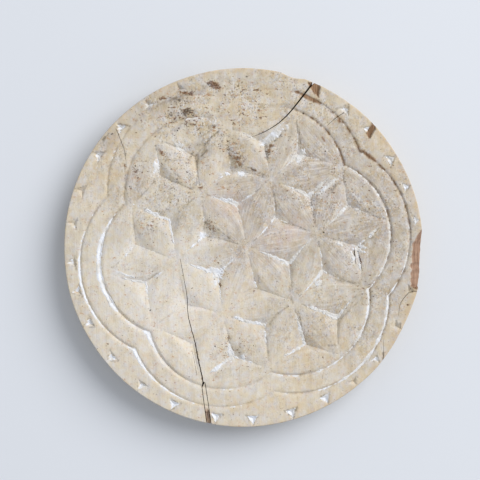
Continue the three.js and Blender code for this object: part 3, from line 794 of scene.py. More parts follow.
places, faces, on_face = slab(outline, lines, scatter, back_spots, lambda s: THICKNESS - face_depth(s),
                              back_height, rim_wander)

# What marks the face, each a number per corner: what time left there, lime wash in and round the cuts, dirt,
# brown and sooty stains, ochre and mauve clouds in the wood and raw brown wood where it has broken; and
# painted shade in bare creases, notches, grooves, cracks, holes and on some facets, with a painted highlight
# on the ridges.
# The lime in a chip's three creases, in the notches, and round the board by its bearing in the grooves:
LIME_ARMS = {
    "inner": [
        (0.8, 0.3, 0.55), (0.3, 0.5, 0.9), (0.1, 0.45, 0.9), (0.75, 1, 0.8), (0.35, 0, 0), (1, 0.35, 1),
    ],
    "edge": [
        (0.4, 0.85, 0.85), (0.3, 0.2, 0.5), (0.1, 0.9, 0.8), (0.1, 0, 0), (1, 0.5, 0.2), (0.9, 0.5, 0.6),
    ],
    "left": [
        (0.9, 0.5, 0.6), (0.05, 1, 0.5), (0.3, 0.9, 0.1), (0.6, 0.85, 0.5), (0.6, 1, 0.65),
        (0.9, 0.15, 0.85),
    ],
    "right": [
        (0.4, 0.85, 0.6), (0.8, 0.3, 0.5), (0.1, 0, 0.1), (0.3, 0, 0.5), (0, 0, 0), (0.85, 0.75, 0.1),
    ],
}
INNER_LIME = [
    (10, 0.5), (24, 0.45), (34, 0.35), (45, 0.15), (60, 0.1), (72, 0), (104, 0), (107, 0.32), (117, 0.32),
    (121, 0.1), (162, 0.05), (168, 0.25), (174, 0.85), (180, 1.15), (203, 1.15), (208, 0.45), (219, 0.25),
    (221, 0.9), (228, 0.8), (234, 0.25), (251, 0.15), (251.5, -1), (256.2, -1), (256.6, 0.4), (265, 0.4),
    (272, 0.1), (281, 0.15), (284, 0.4), (296, 0.4), (310, 0.4), (322, 0.6), (345, 0.6),
]
OUTER_LIME = [
    (10, 0.3), (30, 0.25), (45, 0.15), (60, 0), (103, 0), (120, 0.1), (143, 0.2), (172, 0.25), (180, 0.65),
    (188, 0.75), (206, 0.75), (211, 0.3), (220, 0.15), (222, 0.9), (231, 0.85), (242, 0.6), (252, 0.25),
    (254.8, 0.25), (255.2, -1), (259.2, -1), (259.6, 0.35), (268, 0.3), (273, 0.1), (284, 0.2), (294, 0.3),
    (299, 0.6), (322, 0.85), (340, 0.7), (352, 0.4),
]
LIME_PATCHES = [
    (22.9 + 86.6j, 12, 2.6, 35, 1.15), (44.2 + 71.3j, 6, 2.7, 54, 1.15), (63 + 46j, 13, 2.8, 37, 0.7),
    (89.5 - 2j, 5.5, 2.4, -10, 0.85), (86 - 7j, 1.6, 3, 0, 0.8), (-51 + 80j, 6.5, 3.4, -25, 0.95),
    (-68 + 62.5j, 7.5, 2.4, 85, 0.95), (-13 + 57.4j, 4.6, 2.2, 0, 0.9), (-2.6 + 57j, 3.6, 2.4, -15, 0.9),
    (-31.4 + 9.4j, 4, 3, 30, 0.9), (-10 - 82.5j, 2.2, 6, 8, 1.05), (0 - 86j, 1.8, 3.4, 10, 1),
    (-20 - 94j, 5, 1.9, 35, 0.95), (-92 - 21j, 9, 1.1, -20, 0.75), (-21 - 18.6j, 7, 2.8, -8, 1.05),
    (-20 - 22.5j, 4, 3, 0, 1), (-21.6 - 27.5j, 1.5, 4.2, 0, 0.9), (101 + 11.5j, 1.6, 4, -40, 0.75),
    (75 + 2.8j, 4, 1.3, -25, 0.8), (90 - 10j, 1.2, 3, 10, 0.8), (-73 + 28.5j, 11, 1.3, -22, 0.9),
    (-2 - 55.5j, 7, 1.3, -14, 0.9), (60 - 49.5j, 9, 1.6, -25, 0.8), (57 - 28j, 4, 1.8, 25, 0.9),
    (45.3 - 67j, 1.3, 5, 10, 0.8), (34 - 83j, 6, 1.3, 30, 0.8), (93 + 0.5j, 4, 1.8, -15, 0.9),
    (84.5 - 5j, 1.3, 5, 10, 0.85), (-13 + 37j, 10, 1.7, -14, 0.85), (-5 + 34j, 2.4, 2, 0, 0.85),
]
NOTCH_LIME = {0: 0.8, 1: 0.65, 2: 0.85, 3: 0.55, 4: 0.4, 10: 0.2, 11: 0.3, 12: 0.3, 13: 0.12, 14: 0.15,
              15: 0.2, 16: 0.25, 17: 0.3, 18: 0.5, 19: 0.6, 20: 0.75, 21: 0.6, 22: 1, 23: 1, 24: 0.95,
              26: 0.4}
CHIP_LIME_LUMPS = [(0.6, 5, 5, 21), (0.45, 1.9, 1.9, 22), (0.55, 0.95, 0.95, 27)]
GROOVE_LIME_LUMPS = [(0.5, 6, 6, 23), (0.45, 1.7, 1.7, 24)]
NOTCH_LIME_LUMPS = [(0.4, 3.2, 3.2, 25), (0.6, 1.1, 1.1, 26)]
LIME_WALL, LIME_SHIFT, NO_LIME = 220, 0.22, -1.0
# How lime fills a cut: how much it gains on what it holds, what it starts from, and how far lumps count.
CHIP_LIME_GAIN, CHIP_LIME_START, CHIP_LIME_LUMPY = 1.5, 0.62, 0.75
PATCH_GAIN, PATCH_START, PATCH_LUMPY, LEAST_PATCH = 1.5, 0.75, 0.8, 0.15
GROOVE_LIME_GAIN, GROOVE_LIME_START, GROOVE_LIME_LUMPY, GROOVE_LIME_FALL = 1.3, 0.4, 0.7, 1.25
NOTCH_LIME_GAIN, NOTCH_LIME_START, NOTCH_LIME_LUMPY = 0.9, 0.75, 0.8
LIME_WIDTH, LIME_SPREAD, ARM_SETBACK, ARM_FADE, LEAST_ARM, CHIP_HEART = 1.9, 1.5, 0.28, 0.15, 0.1, (0.75, 1)
CHIP_LIP, NOTCH_LIP, NICK_LIMIT = 0.02, 0.1, 0.1
PETALS_APART, PETAL_TIP_WIDTH, FLOWER_EDGE = 40, 1.2, (16, 14)
# Dirt and painted shade in the grooves and wear on the rim, by bearing, and soft oval marks:
GROOVE_DIRT_AND_SHADE = [
    (0, 0.8), (40, 1), (64, 1), (72, 0.1), (100, 0.1), (112, 0.3), (150, 0.3), (162, 0.5), (175, 0.1),
    (240, 0.1), (300, 0.3), (340, 0.6),
]
RIM_HANDLING = [
    (0, 0.9), (30, 0.9), (60, 0.3), (85, 0.9), (110, 0.6), (140, 0.2), (180, 0.25), (225, 0), (255, 0.1),
    (285, 0.4), (315, 0.6), (335, 1),
]
BARE_STRIPS = [
    (51.5 + 116j, 8.5, 1.7, -27), (42.1 + 120.9j, 2.2, 1.3, -20), (97.7 + 71.4j, 8.5, 1.4, -38),
    (62 + 84.5j, 2.4, 1, -50), (74.5 + 98.5j, 2, 1, -45), (134.5 - 30.5j, 1.6, 2.4, 0),
]
WASH_PATCHES = [
    (-50.8 + 82j, 9, 6, -30, 0.9), (-68 + 64.8j, 3, 7, -10, 0.8), (-13.5 + 57j, 5, 3, 0, 0.8),
    (-4.2 + 57j, 4, 3, 0, 0.7), (-33.7 + 8.9j, 5, 4, 0, 0.8), (-90 - 3j, 14, 5, 35, 0.7),
    (-90 - 22.5j, 13, 2.6, -22, 1), (-79 - 37j, 2.6, 9, 0, 0.9), (-55.5 - 47j, 11, 4, 30, 0.6),
    (-66.4 - 65.8j, 3, 2, 0, 0.7), (20 + 86j, 12, 4, 35, 0.9), (41 + 70j, 6, 5, 30, 0.9),
    (86 - 8j, 8, 9, 0, 0.7), (-76 - 34j, 5, 12, 0, 0.5), (81 + 40j, 2.4, 10, 0, 0.8),
    (-32.5 - 130j, 2.5, 6, 0, 0.7), (-49.3 - 2j, 8, 8, 0, 0.5), (119 - 60.5j, 5, 3, 0, 1),
    (108 - 85j, 6, 3, 30, 0.5), (-40 - 4j, 22, 9, 20, 0.4),
]
WEATHERED_PATCHES = [
    (-100 + 75j, 24, 45, -35, 0.5), (-40 + 92j, 70, 42, 0, 1), (20 + 112j, 70, 30, 0, 1),
    (72 + 42j, 60, 60, 0, 0.9), (64 - 56j, 46, 40, 0, 0.75), (8 + 18j, 44, 40, 0, 0.65),
    (-60 + 45j, 40, 34, 0, 0.8), (-10 - 75j, 22, 16, 0, 0.6), (-95 - 15j, 14, 20, 0, 0.5),
    (112 + 10j, 16, 60, 0, 0.95),
]
BROWN_STAINS = [
    (-22.8 + 126.3j, 6.5, 3.4, -30, 1), (-45.4 + 120.4j, 6, 1.6, -5, 0.9), (-60.5 + 116j, 3, 1.2, 25, 0.7),
    (-52.8 + 109.5j, 3, 1, 15, 0.8), (-63.6 + 74j, 4.5, 2, -45, 0.75), (-87.8 + 46.2j, 1.4, 1.4, 0, 0.9),
    (-91.8 + 63.4j, 2.2, 1, 90, 0.6), (-33 + 46.7j, 2.2, 1, 0, 0.8), (-18.2 - 29j, 1.3, 2.6, 0, 0.8),
    (82.6 - 62j, 1.2, 1.2, 0, 0.7), (100 - 65j, 1, 2.6, 0, 0.6), (8.2 - 34.3j, 1.2, 1.2, 0, 0.7),
    (128 - 44.8j, 2, 1.6, 0, 0.7), (98.4 + 63.3j, 2.2, 1.2, -20, 0.9), (20 + 75.5j, 3, 1.4, -70, 0.8),
    (-40.7 + 120j, 3.2, 2.3, 0, 0.9), (-63.3 + 116.2j, 4.2, 1.5, 25, 0.9), (-68 + 113j, 1.8, 1.1, 20, 0.8),
    (-22.9 + 93.6j, 2.6, 1.6, 0, 0.7), (-8.1 + 117j, 2.2, 1.6, 0, 0.8), (-7.6 + 96.3j, 1.5, 2, 0, 0.8),
    (10.6 + 122.6j, 5, 0.9, 0, 0.8), (83.5 + 103.2j, 1.6, 1.6, 0, 0.6), (21.8 + 79.1j, 4, 2, 10, 0.8),
    (-11.5 - 70.5j, 1.5, 3.4, 0, 0.6), (133.6 - 29.8j, 2.4, 2.2, 30, 1.3), (91 - 10j, 1.1, 7, 10, 0.9),
    # The marks at -26 + 20j and -24 + 15j are dirt and painted shade of the chip beside them.
    (-4 + 68j, 6, 7, 0, 0.62), (8 + 60j, 7, 2, -25, 0.6), (-26 + 20j, 4, 4, 0, 0.48),
    (-24 + 15j, 6, 3, -40, 0.5),
]
SOOT_STAINS = [
    (-44 + 105.5j, 6, 3.8, 5, 1.15), (-57.5 + 103.3j, 4, 3.4, 20, 0.75), (-41 + 95.6j, 6, 1.6, -5, 0.75),
    (-50 + 114.5j, 12, 3.4, 10, 0.62), (-92 + 63j, 1.4, 4, 0, 0.7), (-88.2 + 47j, 1.4, 1.4, 0, 1),
    (133.8 - 30j, 1.6, 1.6, 0, 0.8), (-102.6 + 88j, 2, 1.2, 20, 1), (-110.4 + 78.5j, 1.2, 1.2, 0, 0.95),
    # The mark at -27 + 16.6j is dirt and painted shade of the chip beside it.
    (-27 + 16.6j, 8, 3.5, -45, 0.6), (-3 + 66j, 6, 7, 0, 0.5), (86 - 6j, 1.6, 4, 10, 0.9),
    (-49.3 + 120.8j, 2, 1.5, 0, 1), (-22.5 + 126.8j, 2.6, 1.5, -25, 1), (2.8 + 133.3j, 1.8, 1.3, 0, 1),
    (-14.3 + 87.4j, 4, 1.2, 0, 0.8), (-0.5 + 94.4j, 1.8, 2.2, 0, 0.7), (-40.5 + 72j, 1.3, 6, -25, 0.7),
]
# Dark smudges: painted shade on facets, with some dirt.
SHADE_SMUDGES = [
    (-54 + 52.4j, 9, 4, -40, 0.4), (-29.5 + 81j, 6.5, 11, -14, 1), (-10.4 + 75.7j, 9, 10, 0, 0.7),
    (-5.8 + 63.3j, 8, 6, 0, 0.8), (-27.5 + 16.6j, 11, 5, -45, 0.85), (-49.3 + 21.3j, 13, 4.5, 60, 0.6),
    (-105 + 83j, 9, 5, 45, 0.55), (-99 + 44j, 4, 9, 0, 0.5), (-58 + 113j, 22, 7, 22, 0.6),
    (-45 + 100j, 16, 8, 0, 0.6), (62 + 8j, 10, 14, 0, 0.45), (101 + 2j, 5, 34, 0, 0.45),
    (94 - 32j, 6, 22, -12, 0.55), (36 - 16j, 4, 15, 0, 0.55), (52 - 4j, 5, 16, 60, 0.45),
    (60 - 70j, 12, 9, 0, 0.4), (100 - 66j, 3, 7, 0, 0.6), (120 + 20j, 5, 24, 10, 0.4),
    (70 + 52j, 20, 9, 30, 0.4), (30 + 44j, 9, 24, -30, 0.4), (8 + 30j, 8, 22, 20, 0.4),
    (-20 - 2j, 16, 7, 20, 0.35), (84 + 88j, 5, 12, 40, 0.4), (22 - 48j, 14, 6, 40, 0.3),
    (112 - 48j, 4, 14, -20, 0.4), (-6 + 73j, 8, 13, 0, 0.85), (-2 - 77j, 5, 7, -40, 0.5),
    (-68 - 16j, 14, 4, 10, 0.5), (-78 + 12j, 14, 5, -35, 0.5),
]
MAUVE_CLOUDS = [
    (1 + 4j, 18, 34, 0, 0.8), (14 + 33j, 34, 30, 0, 1), (22 + 4j, 28, 24, 0, 0.95),
    (62 + 36j, 34, 30, 0, 1), (84 - 4j, 32, 28, 0, 1), (56 + 66j, 44, 30, 0, 0.9),
    (106 + 20j, 26, 60, 0, 0.85), (118 - 26j, 20, 40, 0, 0.7), (-60 + 112j, 26, 12, 25, 0.6),
    (60 - 62j, 34, 28, 0, 0.45), (-105 + 81j, 10, 6, 50, 0.95), (-84 + 52j, 8, 15, -12, 1),
    (90 - 70j, 12, 20, 0, 0.2),
]
OCHRE_CLOUDS = [
    (-124 - 36j, 10, 26, 12, 0.45), (-40 + 84j, 56, 40, -35, 0.6), (14 + 112j, 60, 24, 0, 0.9),
    (-108 + 62j, 22, 40, -25, 0.9), (-88 - 88j, 30, 70, 45, 0.3), (30 - 124j, 80, 16, 0, 0.8),
    (105 + 82j, 16, 50, 40, 0.8), (60 + 78j, 36, 24, 0, 0.25), (-4 - 58j, 30, 22, 0, 0.45),
    (118 - 60j, 12, 40, -30, 0.8), (-2 + 70j, 14, 14, 0, 1), (66 - 84j, 50, 30, 20, 0.95),
    (-64 + 60j, 6, 10, 30, 1), (56 + 49j, 14, 5, 10, 0.6), (94 - 4j, 7, 12, 0, 0.8),
    (8 - 24j, 18, 15, 0, 0.6), (72 - 45j, 12, 8, 0, 0.5),
]
ROSY_CLOUDS = [(-10 + 34j, 16, 12, 0, 0.8), (32 + 11j, 20, 11, 20, 1), (64 + 46j, 16, 10, 0, 0.4)]
CREAM_CLOUDS = [
    (16 - 16j, 12, 10, 0, 0.7), (-85 + 12j, 26, 46, 0, 0.5), (-118 + 34j, 14, 22, 0, 0.7),
    (-55 - 55j, 75, 70, 0, 1), (10 - 110j, 70, 40, 0, 0.6), (-50 + 67j, 16, 7, -52, 1),
    (-22 + 64j, 14, 6, 70, 0.9), (65 - 62j, 12, 5, -49, 0.9),
]
STAINS = {"soot": SOOT_STAINS, "smudge": SHADE_SMUDGES, "mauve": MAUVE_CLOUDS, "ochre": OCHRE_CLOUDS,
          "rosy": ROSY_CLOUDS, "cream": CREAM_CLOUDS}
# Where marks break up, as bumps and the heights between which the mark comes in:
NOTCH_EDGE_SHADE_GAPS = ([(1, 3, 3, 55), (0.5, 1.2, 1.2, 56)], -0.5, 0.4)
STROKE_GAPS = ([(1, 2.4, 2.4, 60), (0.6, 1, 1, 61)], -0.55, 0.25)
DIRT_DASHES = ([(1, 4.5, 4.5, 53), (0.5, 1.6, 1.6, 54)], 0, 0.35)
SHADE_AND_GRIME_GAPS = ([(1, 8, 8, 16), (0.6, 2, 2, 17)], -0.7, 0.7)
WEATHER_GAPS = ([(1, 8, 11, 51), (0.7, 3.4, 4.2, 52)], -0.6, 0.7)
STROKE_WAVER, STROKE_CORE = [(0.35, 2.2, 2.2, 57), (0.2, 0.9, 0.9, 58)], 0.25
# Where marks fade, from none to most, by their distance in millimetres or their share of a cut's depth:
CREASE_SHADE_AND_GRIME, GROOVE_DIRT_FADE, CRACK_SHADE_AND_GRIME, HANDLED_FADE = (0.8, 0.1), (1.5, 0.5), (0.05, 0.5), (6, 1)
RIDGE_HIGHLIGHT_FADE, NOTCH_SHADE_AND_GRIME, NOTCH_EDGE_SHADE_FADE, NOTCH_EDGE_SHADE_AT = (0.12, 0.02), (0, 0.25), (0.13, 0.04), 0.06
SHADE_AND_GRIME_OFF_LIME, LIME_WASH_FADE, HOLE_SHADE_FADE, STRIP_FADE = (0.1, -0.3), (-0.5, 0.1), (0.15, 0.6), (0.25, 0.55)
FLAKE_FADE, FACET_FADE, SPLIT_FADE, SPLIT_FADE_ALONG = (0.1, 0.6), (0.2, 1.2), (1.5, 0.6), (0.45, 0.8)
CREASE_SHADE_FROM, SPLIT_STEP = 0.03, 3
# How strong marks are at their most, or where the board has least of them:
CREASE_SHADE_AND_GRIME_MOST, NOTCH_SHADE_AND_GRIME_MOST, GROOVE_SHADE_AND_GRIME_MOST, CRACK_SHADE_AND_GRIME_MOST = 0.9, 0.3, 0.6, 2
NOTCH_EDGE_SHADE_MOST, LIME_WASH_MOST, SPLIT_STAIN_MOST, WEATHER_MOST = 0.75, 0.8, 0.5, 1.1
STROKE_LEAST, DASH_LEAST, SHADE_AND_GRIME_LEAST = 0.25, 0.25, 0.3
WEATHERED_LEAST, WEATHER_LEAST, STROKED_LEAST = 0.2, 0.3, 0.2


def by_bearing(spot, knots):
    """A value that changes round the board, given at a few bearings."""
    return np.interp(bearing(spot), *zip(*knots), period=360)


def crease(chip, spot):
    """How far a spot lies off the nearest crease of a chip, and to which of its corners that crease runs."""
    facets = np.array(chip_facets(chip, spot))
    order = np.sort(facets, axis=0)
    return (order[1] - order[0]) * np.mean(chip.runs), (np.argmax(facets, axis=0) + 2) % 3


def chip_lime(spot):
    """How much lime the creases of the flower's chips hold, most along the middle of a crease."""
    held = np.full(spot.shape, NO_LIME)
    lumps = uneven(spot, CHIP_LIME_LUMPS)
    for chip in chips:
        kind, k = chip.name.split("_")
        arms = np.array(LIME_ARMS[kind][int(k) - 1])
        share = chip_share(chip, spot)
        off, corner = crease(chip, spot)
        reach = ARM_SETBACK * (1 - np.minimum(arms[corner], 1))
        arm = np.maximum(arms[corner] * rise(share, reach, reach + ARM_FADE),
                         arms.max() * rise(share, *CHIP_HEART))
        here = CHIP_LIME_GAIN * arm - CHIP_LIME_START - off / (LIME_WIDTH + LIME_SPREAD * share)
        here = np.where(arm > LEAST_ARM, here + CHIP_LIME_LUMPY * lumps, NO_LIME)
        held = np.where(share > CHIP_LIP, np.maximum(held, here), held)
    patch = blots(spot, LIME_PATCHES)
    here = PATCH_GAIN * patch - PATCH_START + PATCH_LUMPY * lumps
    return np.where(patch > LEAST_PATCH, np.maximum(held, here), held)


def groove_lime(groove, knots, spot):
    """How much lime a groove holds at each spot. It lies thicker on the groove's lower left wall."""
    nearest = np.argmin([np.abs(spot - centre) for centre in groove.centres], axis=0)
    outward = spot - np.choose(nearest, groove.centres)
    shift = LIME_SHIFT * groove.width * (outward / np.abs(outward) * np.conj(polar(1, LIME_WALL))).real
    off = np.abs(off_groove(groove, spot) - shift) / (groove.width / 2)
    here = GROOVE_LIME_GAIN * by_bearing(spot, knots) - GROOVE_LIME_FALL * off - GROOVE_LIME_START
    return here + GROOVE_LIME_LUMPY * uneven(spot, GROOVE_LIME_LUMPS)


def notch_lime(spot):
    """How much lime the notches along the rim hold."""
    held = np.full(spot.shape, NO_LIME)
    lumps = uneven(spot, NOTCH_LIME_LUMPS)
    for notch in notches:
        if notch.index in NOTCH_LIME:
            share = notch_share(notch, spot)
            here = NOTCH_LIME_GAIN * share + NOTCH_LIME_GAIN * NOTCH_LIME[notch.index] - NOTCH_LIME_START
            held = np.maximum(held, np.where(share > NOTCH_LIP, here + NOTCH_LIME_LUMPY * lumps, NO_LIME))
    return np.where(nick_share(spot, *NICK_STAIN) > NICK_LIMIT, NO_LIME, held)


def petal_frame(spot):
    """How far across its petal and along it a spot lies, in millimetres, and whether it is on the flower."""
    sides = {}
    for chip in chips:
        for a, b in zip(chip.corners, chip.corners[1:] + chip.corners[:1]):
            sides[np.round(a + b, 3)] = (a, b)
    least = np.full(spot.shape, np.inf)
    across, along = np.zeros(spot.shape), np.zeros(spot.shape)
    for i, (a, b) in enumerate(sides.values()):
        on_side = (spot - (a + b) / 2) * np.conj((b - a) / abs(b - a))
        gap = np.hypot(np.clip(np.abs(on_side.real) - COMPASS / 2, 0, None), on_side.imag)
        half = np.sqrt(np.clip(COMPASS ** 2 - on_side.real ** 2, 0, None)) - COMPASS * math.sqrt(0.75)
        off = PETAL_HALF_WIDTH * on_side.imag / np.clip(half, PETAL_TIP_WIDTH, None)
        nearer = gap < least
        across = np.where(nearer, PETALS_APART * i + off, across)
        along = np.where(nearer, on_side.real, along)
        least = np.minimum(least, gap)
    return across, along, rise(least, *FLOWER_EDGE)


def face_marks(spot, on_face):
    """The measures that the wood's colours follow, for corners on the carved face and off it."""
    lime = np.max([chip_lime(spot), notch_lime(spot), groove_lime(INNER_GROOVE, INNER_LIME, spot),
                   groove_lime(OUTER_GROOVE, OUTER_LIME, spot)], axis=0)
    grime, ridge, notch_edge_shade, strokes, dirt = (np.zeros(spot.shape) for _ in range(5))
    for chip in chips:
        share = chip_share(chip, spot)
        off_crease, _ = crease(chip, spot)
        # Painted shade and dirt along the creases of the chips.
        crease_shade_and_grime = CREASE_SHADE_AND_GRIME_MOST * rise(off_crease, *CREASE_SHADE_AND_GRIME)
        grime = np.maximum(grime, np.where(share > CREASE_SHADE_FROM, crease_shade_and_grime, 0))
        # A pale line along the chips' edges: worn edges with a painted highlight.
        ridge = np.maximum(ridge, rise(np.abs(share), *RIDGE_HIGHLIGHT_FADE))
    for notch in notches:
        if notch.index in NOTCH_LIME:
            share = notch_share(notch, spot)
            # Notches with little lime are darkened inside: painted shade and dirt.
            notch_shade_and_grime = NOTCH_SHADE_AND_GRIME_MOST * (1 - NOTCH_LIME[notch.index])
            grime = np.maximum(grime, notch_shade_and_grime * rise(share, *NOTCH_SHADE_AND_GRIME))
            # A dark outline round each limed notch: painted shade and dirt.
            notch_edge_shade = np.maximum(notch_edge_shade, rise(np.abs(share - NOTCH_EDGE_SHADE_AT), *NOTCH_EDGE_SHADE_FADE))
    notch_edge_shade = notch_edge_shade * patchy(spot, *NOTCH_EDGE_SHADE_GAPS)
    waver = uneven(spot, STROKE_WAVER)
    # Dark strokes: dirt, with painted shade where they follow creases.
    for start, end, width, strength in SHADE_AND_DIRT_STROKES:
        gap, _ = nearest_on(np.array([start, end]), spot)
        strokes = np.maximum(strokes, strength * rise(gap + waver, width, STROKE_CORE * width))
    strokes = strokes * at_least(STROKE_LEAST, patchy(spot, *STROKE_GAPS))
    groove_darkening = by_bearing(spot, GROOVE_DIRT_AND_SHADE)
    dashes = DASH_LEAST + patchy(spot, *DIRT_DASHES)
    for groove in GROOVES:
        off = np.abs(off_groove(groove, spot))
        # Painted shade and dirt along the bottoms of the grooves.
        grime = np.maximum(grime, GROOVE_SHADE_AND_GRIME_MOST * rise(off, *CREASE_SHADE_AND_GRIME) * groove_darkening)
        dirt = np.maximum(dirt, rise(off, *GROOVE_DIRT_FADE) * groove_darkening * dashes)
    weathered = blots(spot, WEATHERED_PATCHES)
    grime = grime * patchy(spot, *SHADE_AND_GRIME_GAPS)
    grime = grime * at_least(SHADE_AND_GRIME_LEAST, weathered) * rise(lime, *SHADE_AND_GRIME_OFF_LIME)
    # Painted shade and dirt inside the cracks.
    crack_shade_and_grime = CRACK_SHADE_AND_GRIME_MOST * rise(deepest_crack(spot), *CRACK_SHADE_AND_GRIME)
    raw = [nick_share(spot, *NICK_STAIN), rise(blots(spot, BARE_STRIPS), *STRIP_FADE)]
    off_split, down_split = nearest_on(flowing([*LONG_SPLIT_BENDS, fork], SPLIT_STEP), spot)
    beside_split = rise(off_split, *SPLIT_FADE) * rise(down_split, *SPLIT_FADE_ALONG)
    weathering = WEATHER_LEAST + WEATHER_MOST * patchy(spot, *WEATHER_GAPS)
    across, along, on_petal = petal_frame(spot)
    marks = {title: blots(spot, stains) for title, stains in STAINS.items()}
    marks |= {
        "bare": np.max([*raw, rise(flake_depth(spot), *FLAKE_FADE)], axis=0),
        "facet": rise(break_depth(spot), *FACET_FADE),
        "lime_wash": np.maximum(LIME_WASH_MOST * rise(lime, *LIME_WASH_FADE), blots(spot, WASH_PATCHES)),
        "grime": np.clip(np.max([grime, NOTCH_EDGE_SHADE_MOST * notch_edge_shade, strokes, crack_shade_and_grime], axis=0), 0, 1),
        "dirt": dirt,
        # Painted shade and dirt inside the beetle holes.
        "holes": rise(hole_depth(spot), *HOLE_SHADE_FADE),
        "brown": np.maximum(blots(spot, BROWN_STAINS), SPLIT_STAIN_MOST * beside_split),
        "weathered": at_least(WEATHERED_LEAST, weathered) * weathering,
        "speckle": speckle_share(spot),
        # A pale line along the chips' edges: worn edges with a painted highlight.
        "ridge": ridge * on_petal,
        "stroked": on_petal * at_least(STROKED_LEAST, marks["mauve"]),
        "washed": np.ones(spot.shape),
    }
    marks = {title: np.where(on_face, values, 0) for title, values in marks.items()}
    handled = by_bearing(spot, RIM_HANDLING) * rise(inset(spot), *HANDLED_FADE)
    marks |= {"handled": np.where(on_face, handled, 1), "sawn": np.where(on_face, 0.0, 1.0)}
    return marks | {"petal_across": across, "petal_along": along}


plan = places[:, 0] + 1j * places[:, 1]
board = mesh_piece("carved_board", places, faces, face_marks(plan, on_face))

# Its wood: old mango bleached by washing, sun and lime, matte and dry. It has fine grain up the board, clouds
# of cream, ochre and mauve grey, grit and rust-coloured specks in its pores, and is raw brown where broken.
# Its sawn sides show the year rings. Its colours also hold painted shade in the cuts and holes and on some
# facets, and a painted highlight along the ridges.
PALE, GREY_BEIGE, GRAIN_WIDTH, GRAIN_LENGTH = "#cec6b5", "#bdb6a7", 1.3, 20
RAW_LIGHT, RAW_DARK, FACET_LIGHT, FACET_DARK = "#987a60", "#684e38", "#a98b77", "#7d6250"
PATTERN_LOW, PATTERN_HIGH, PATTERN_ROUGHNESS, PATTERNS_APART = 0.36, 0.64, 0.58, 0.1
RELIEF_HEIGHT, RELIEF_STRENGTH, SHINIEST, DULLEST = 0.4, 0.5, 0.8, 0.95
# Each pattern: the size of its features in millimetres, how many times wider they spread across the board and
# how many times longer they stretch along the grain, and its detail.
WOOD_PATTERNS = {
    "cloud": (26, 1, 1, 4), "blotch": (9, 1, 1.4, 5), "mottle": (3.2, 1, 1.6, 4), "grit": (1.05, 1, 1.2, 2),
    "grain": (GRAIN_WIDTH, 1, GRAIN_LENGTH / GRAIN_WIDTH, 4), "broad grain": (5, 1, 7, 4),
    "strokes": (1.3, 1, 14, 3), "rust": (3, 1, 0.8, 3), "specks": (2.3, 1, 0.7, 2), "lumps": (6, 1, 1.3, 5),
    "flecks": (2.2, 1, 0.8, 3), "pores": (1.3, 1, 1.5, 3), "scuffs": (5, 1, 1.2, 6), "hue": (4.5, 1, 1.2, 4),
    "year rings": (2.4, 16, 34, 3),
}
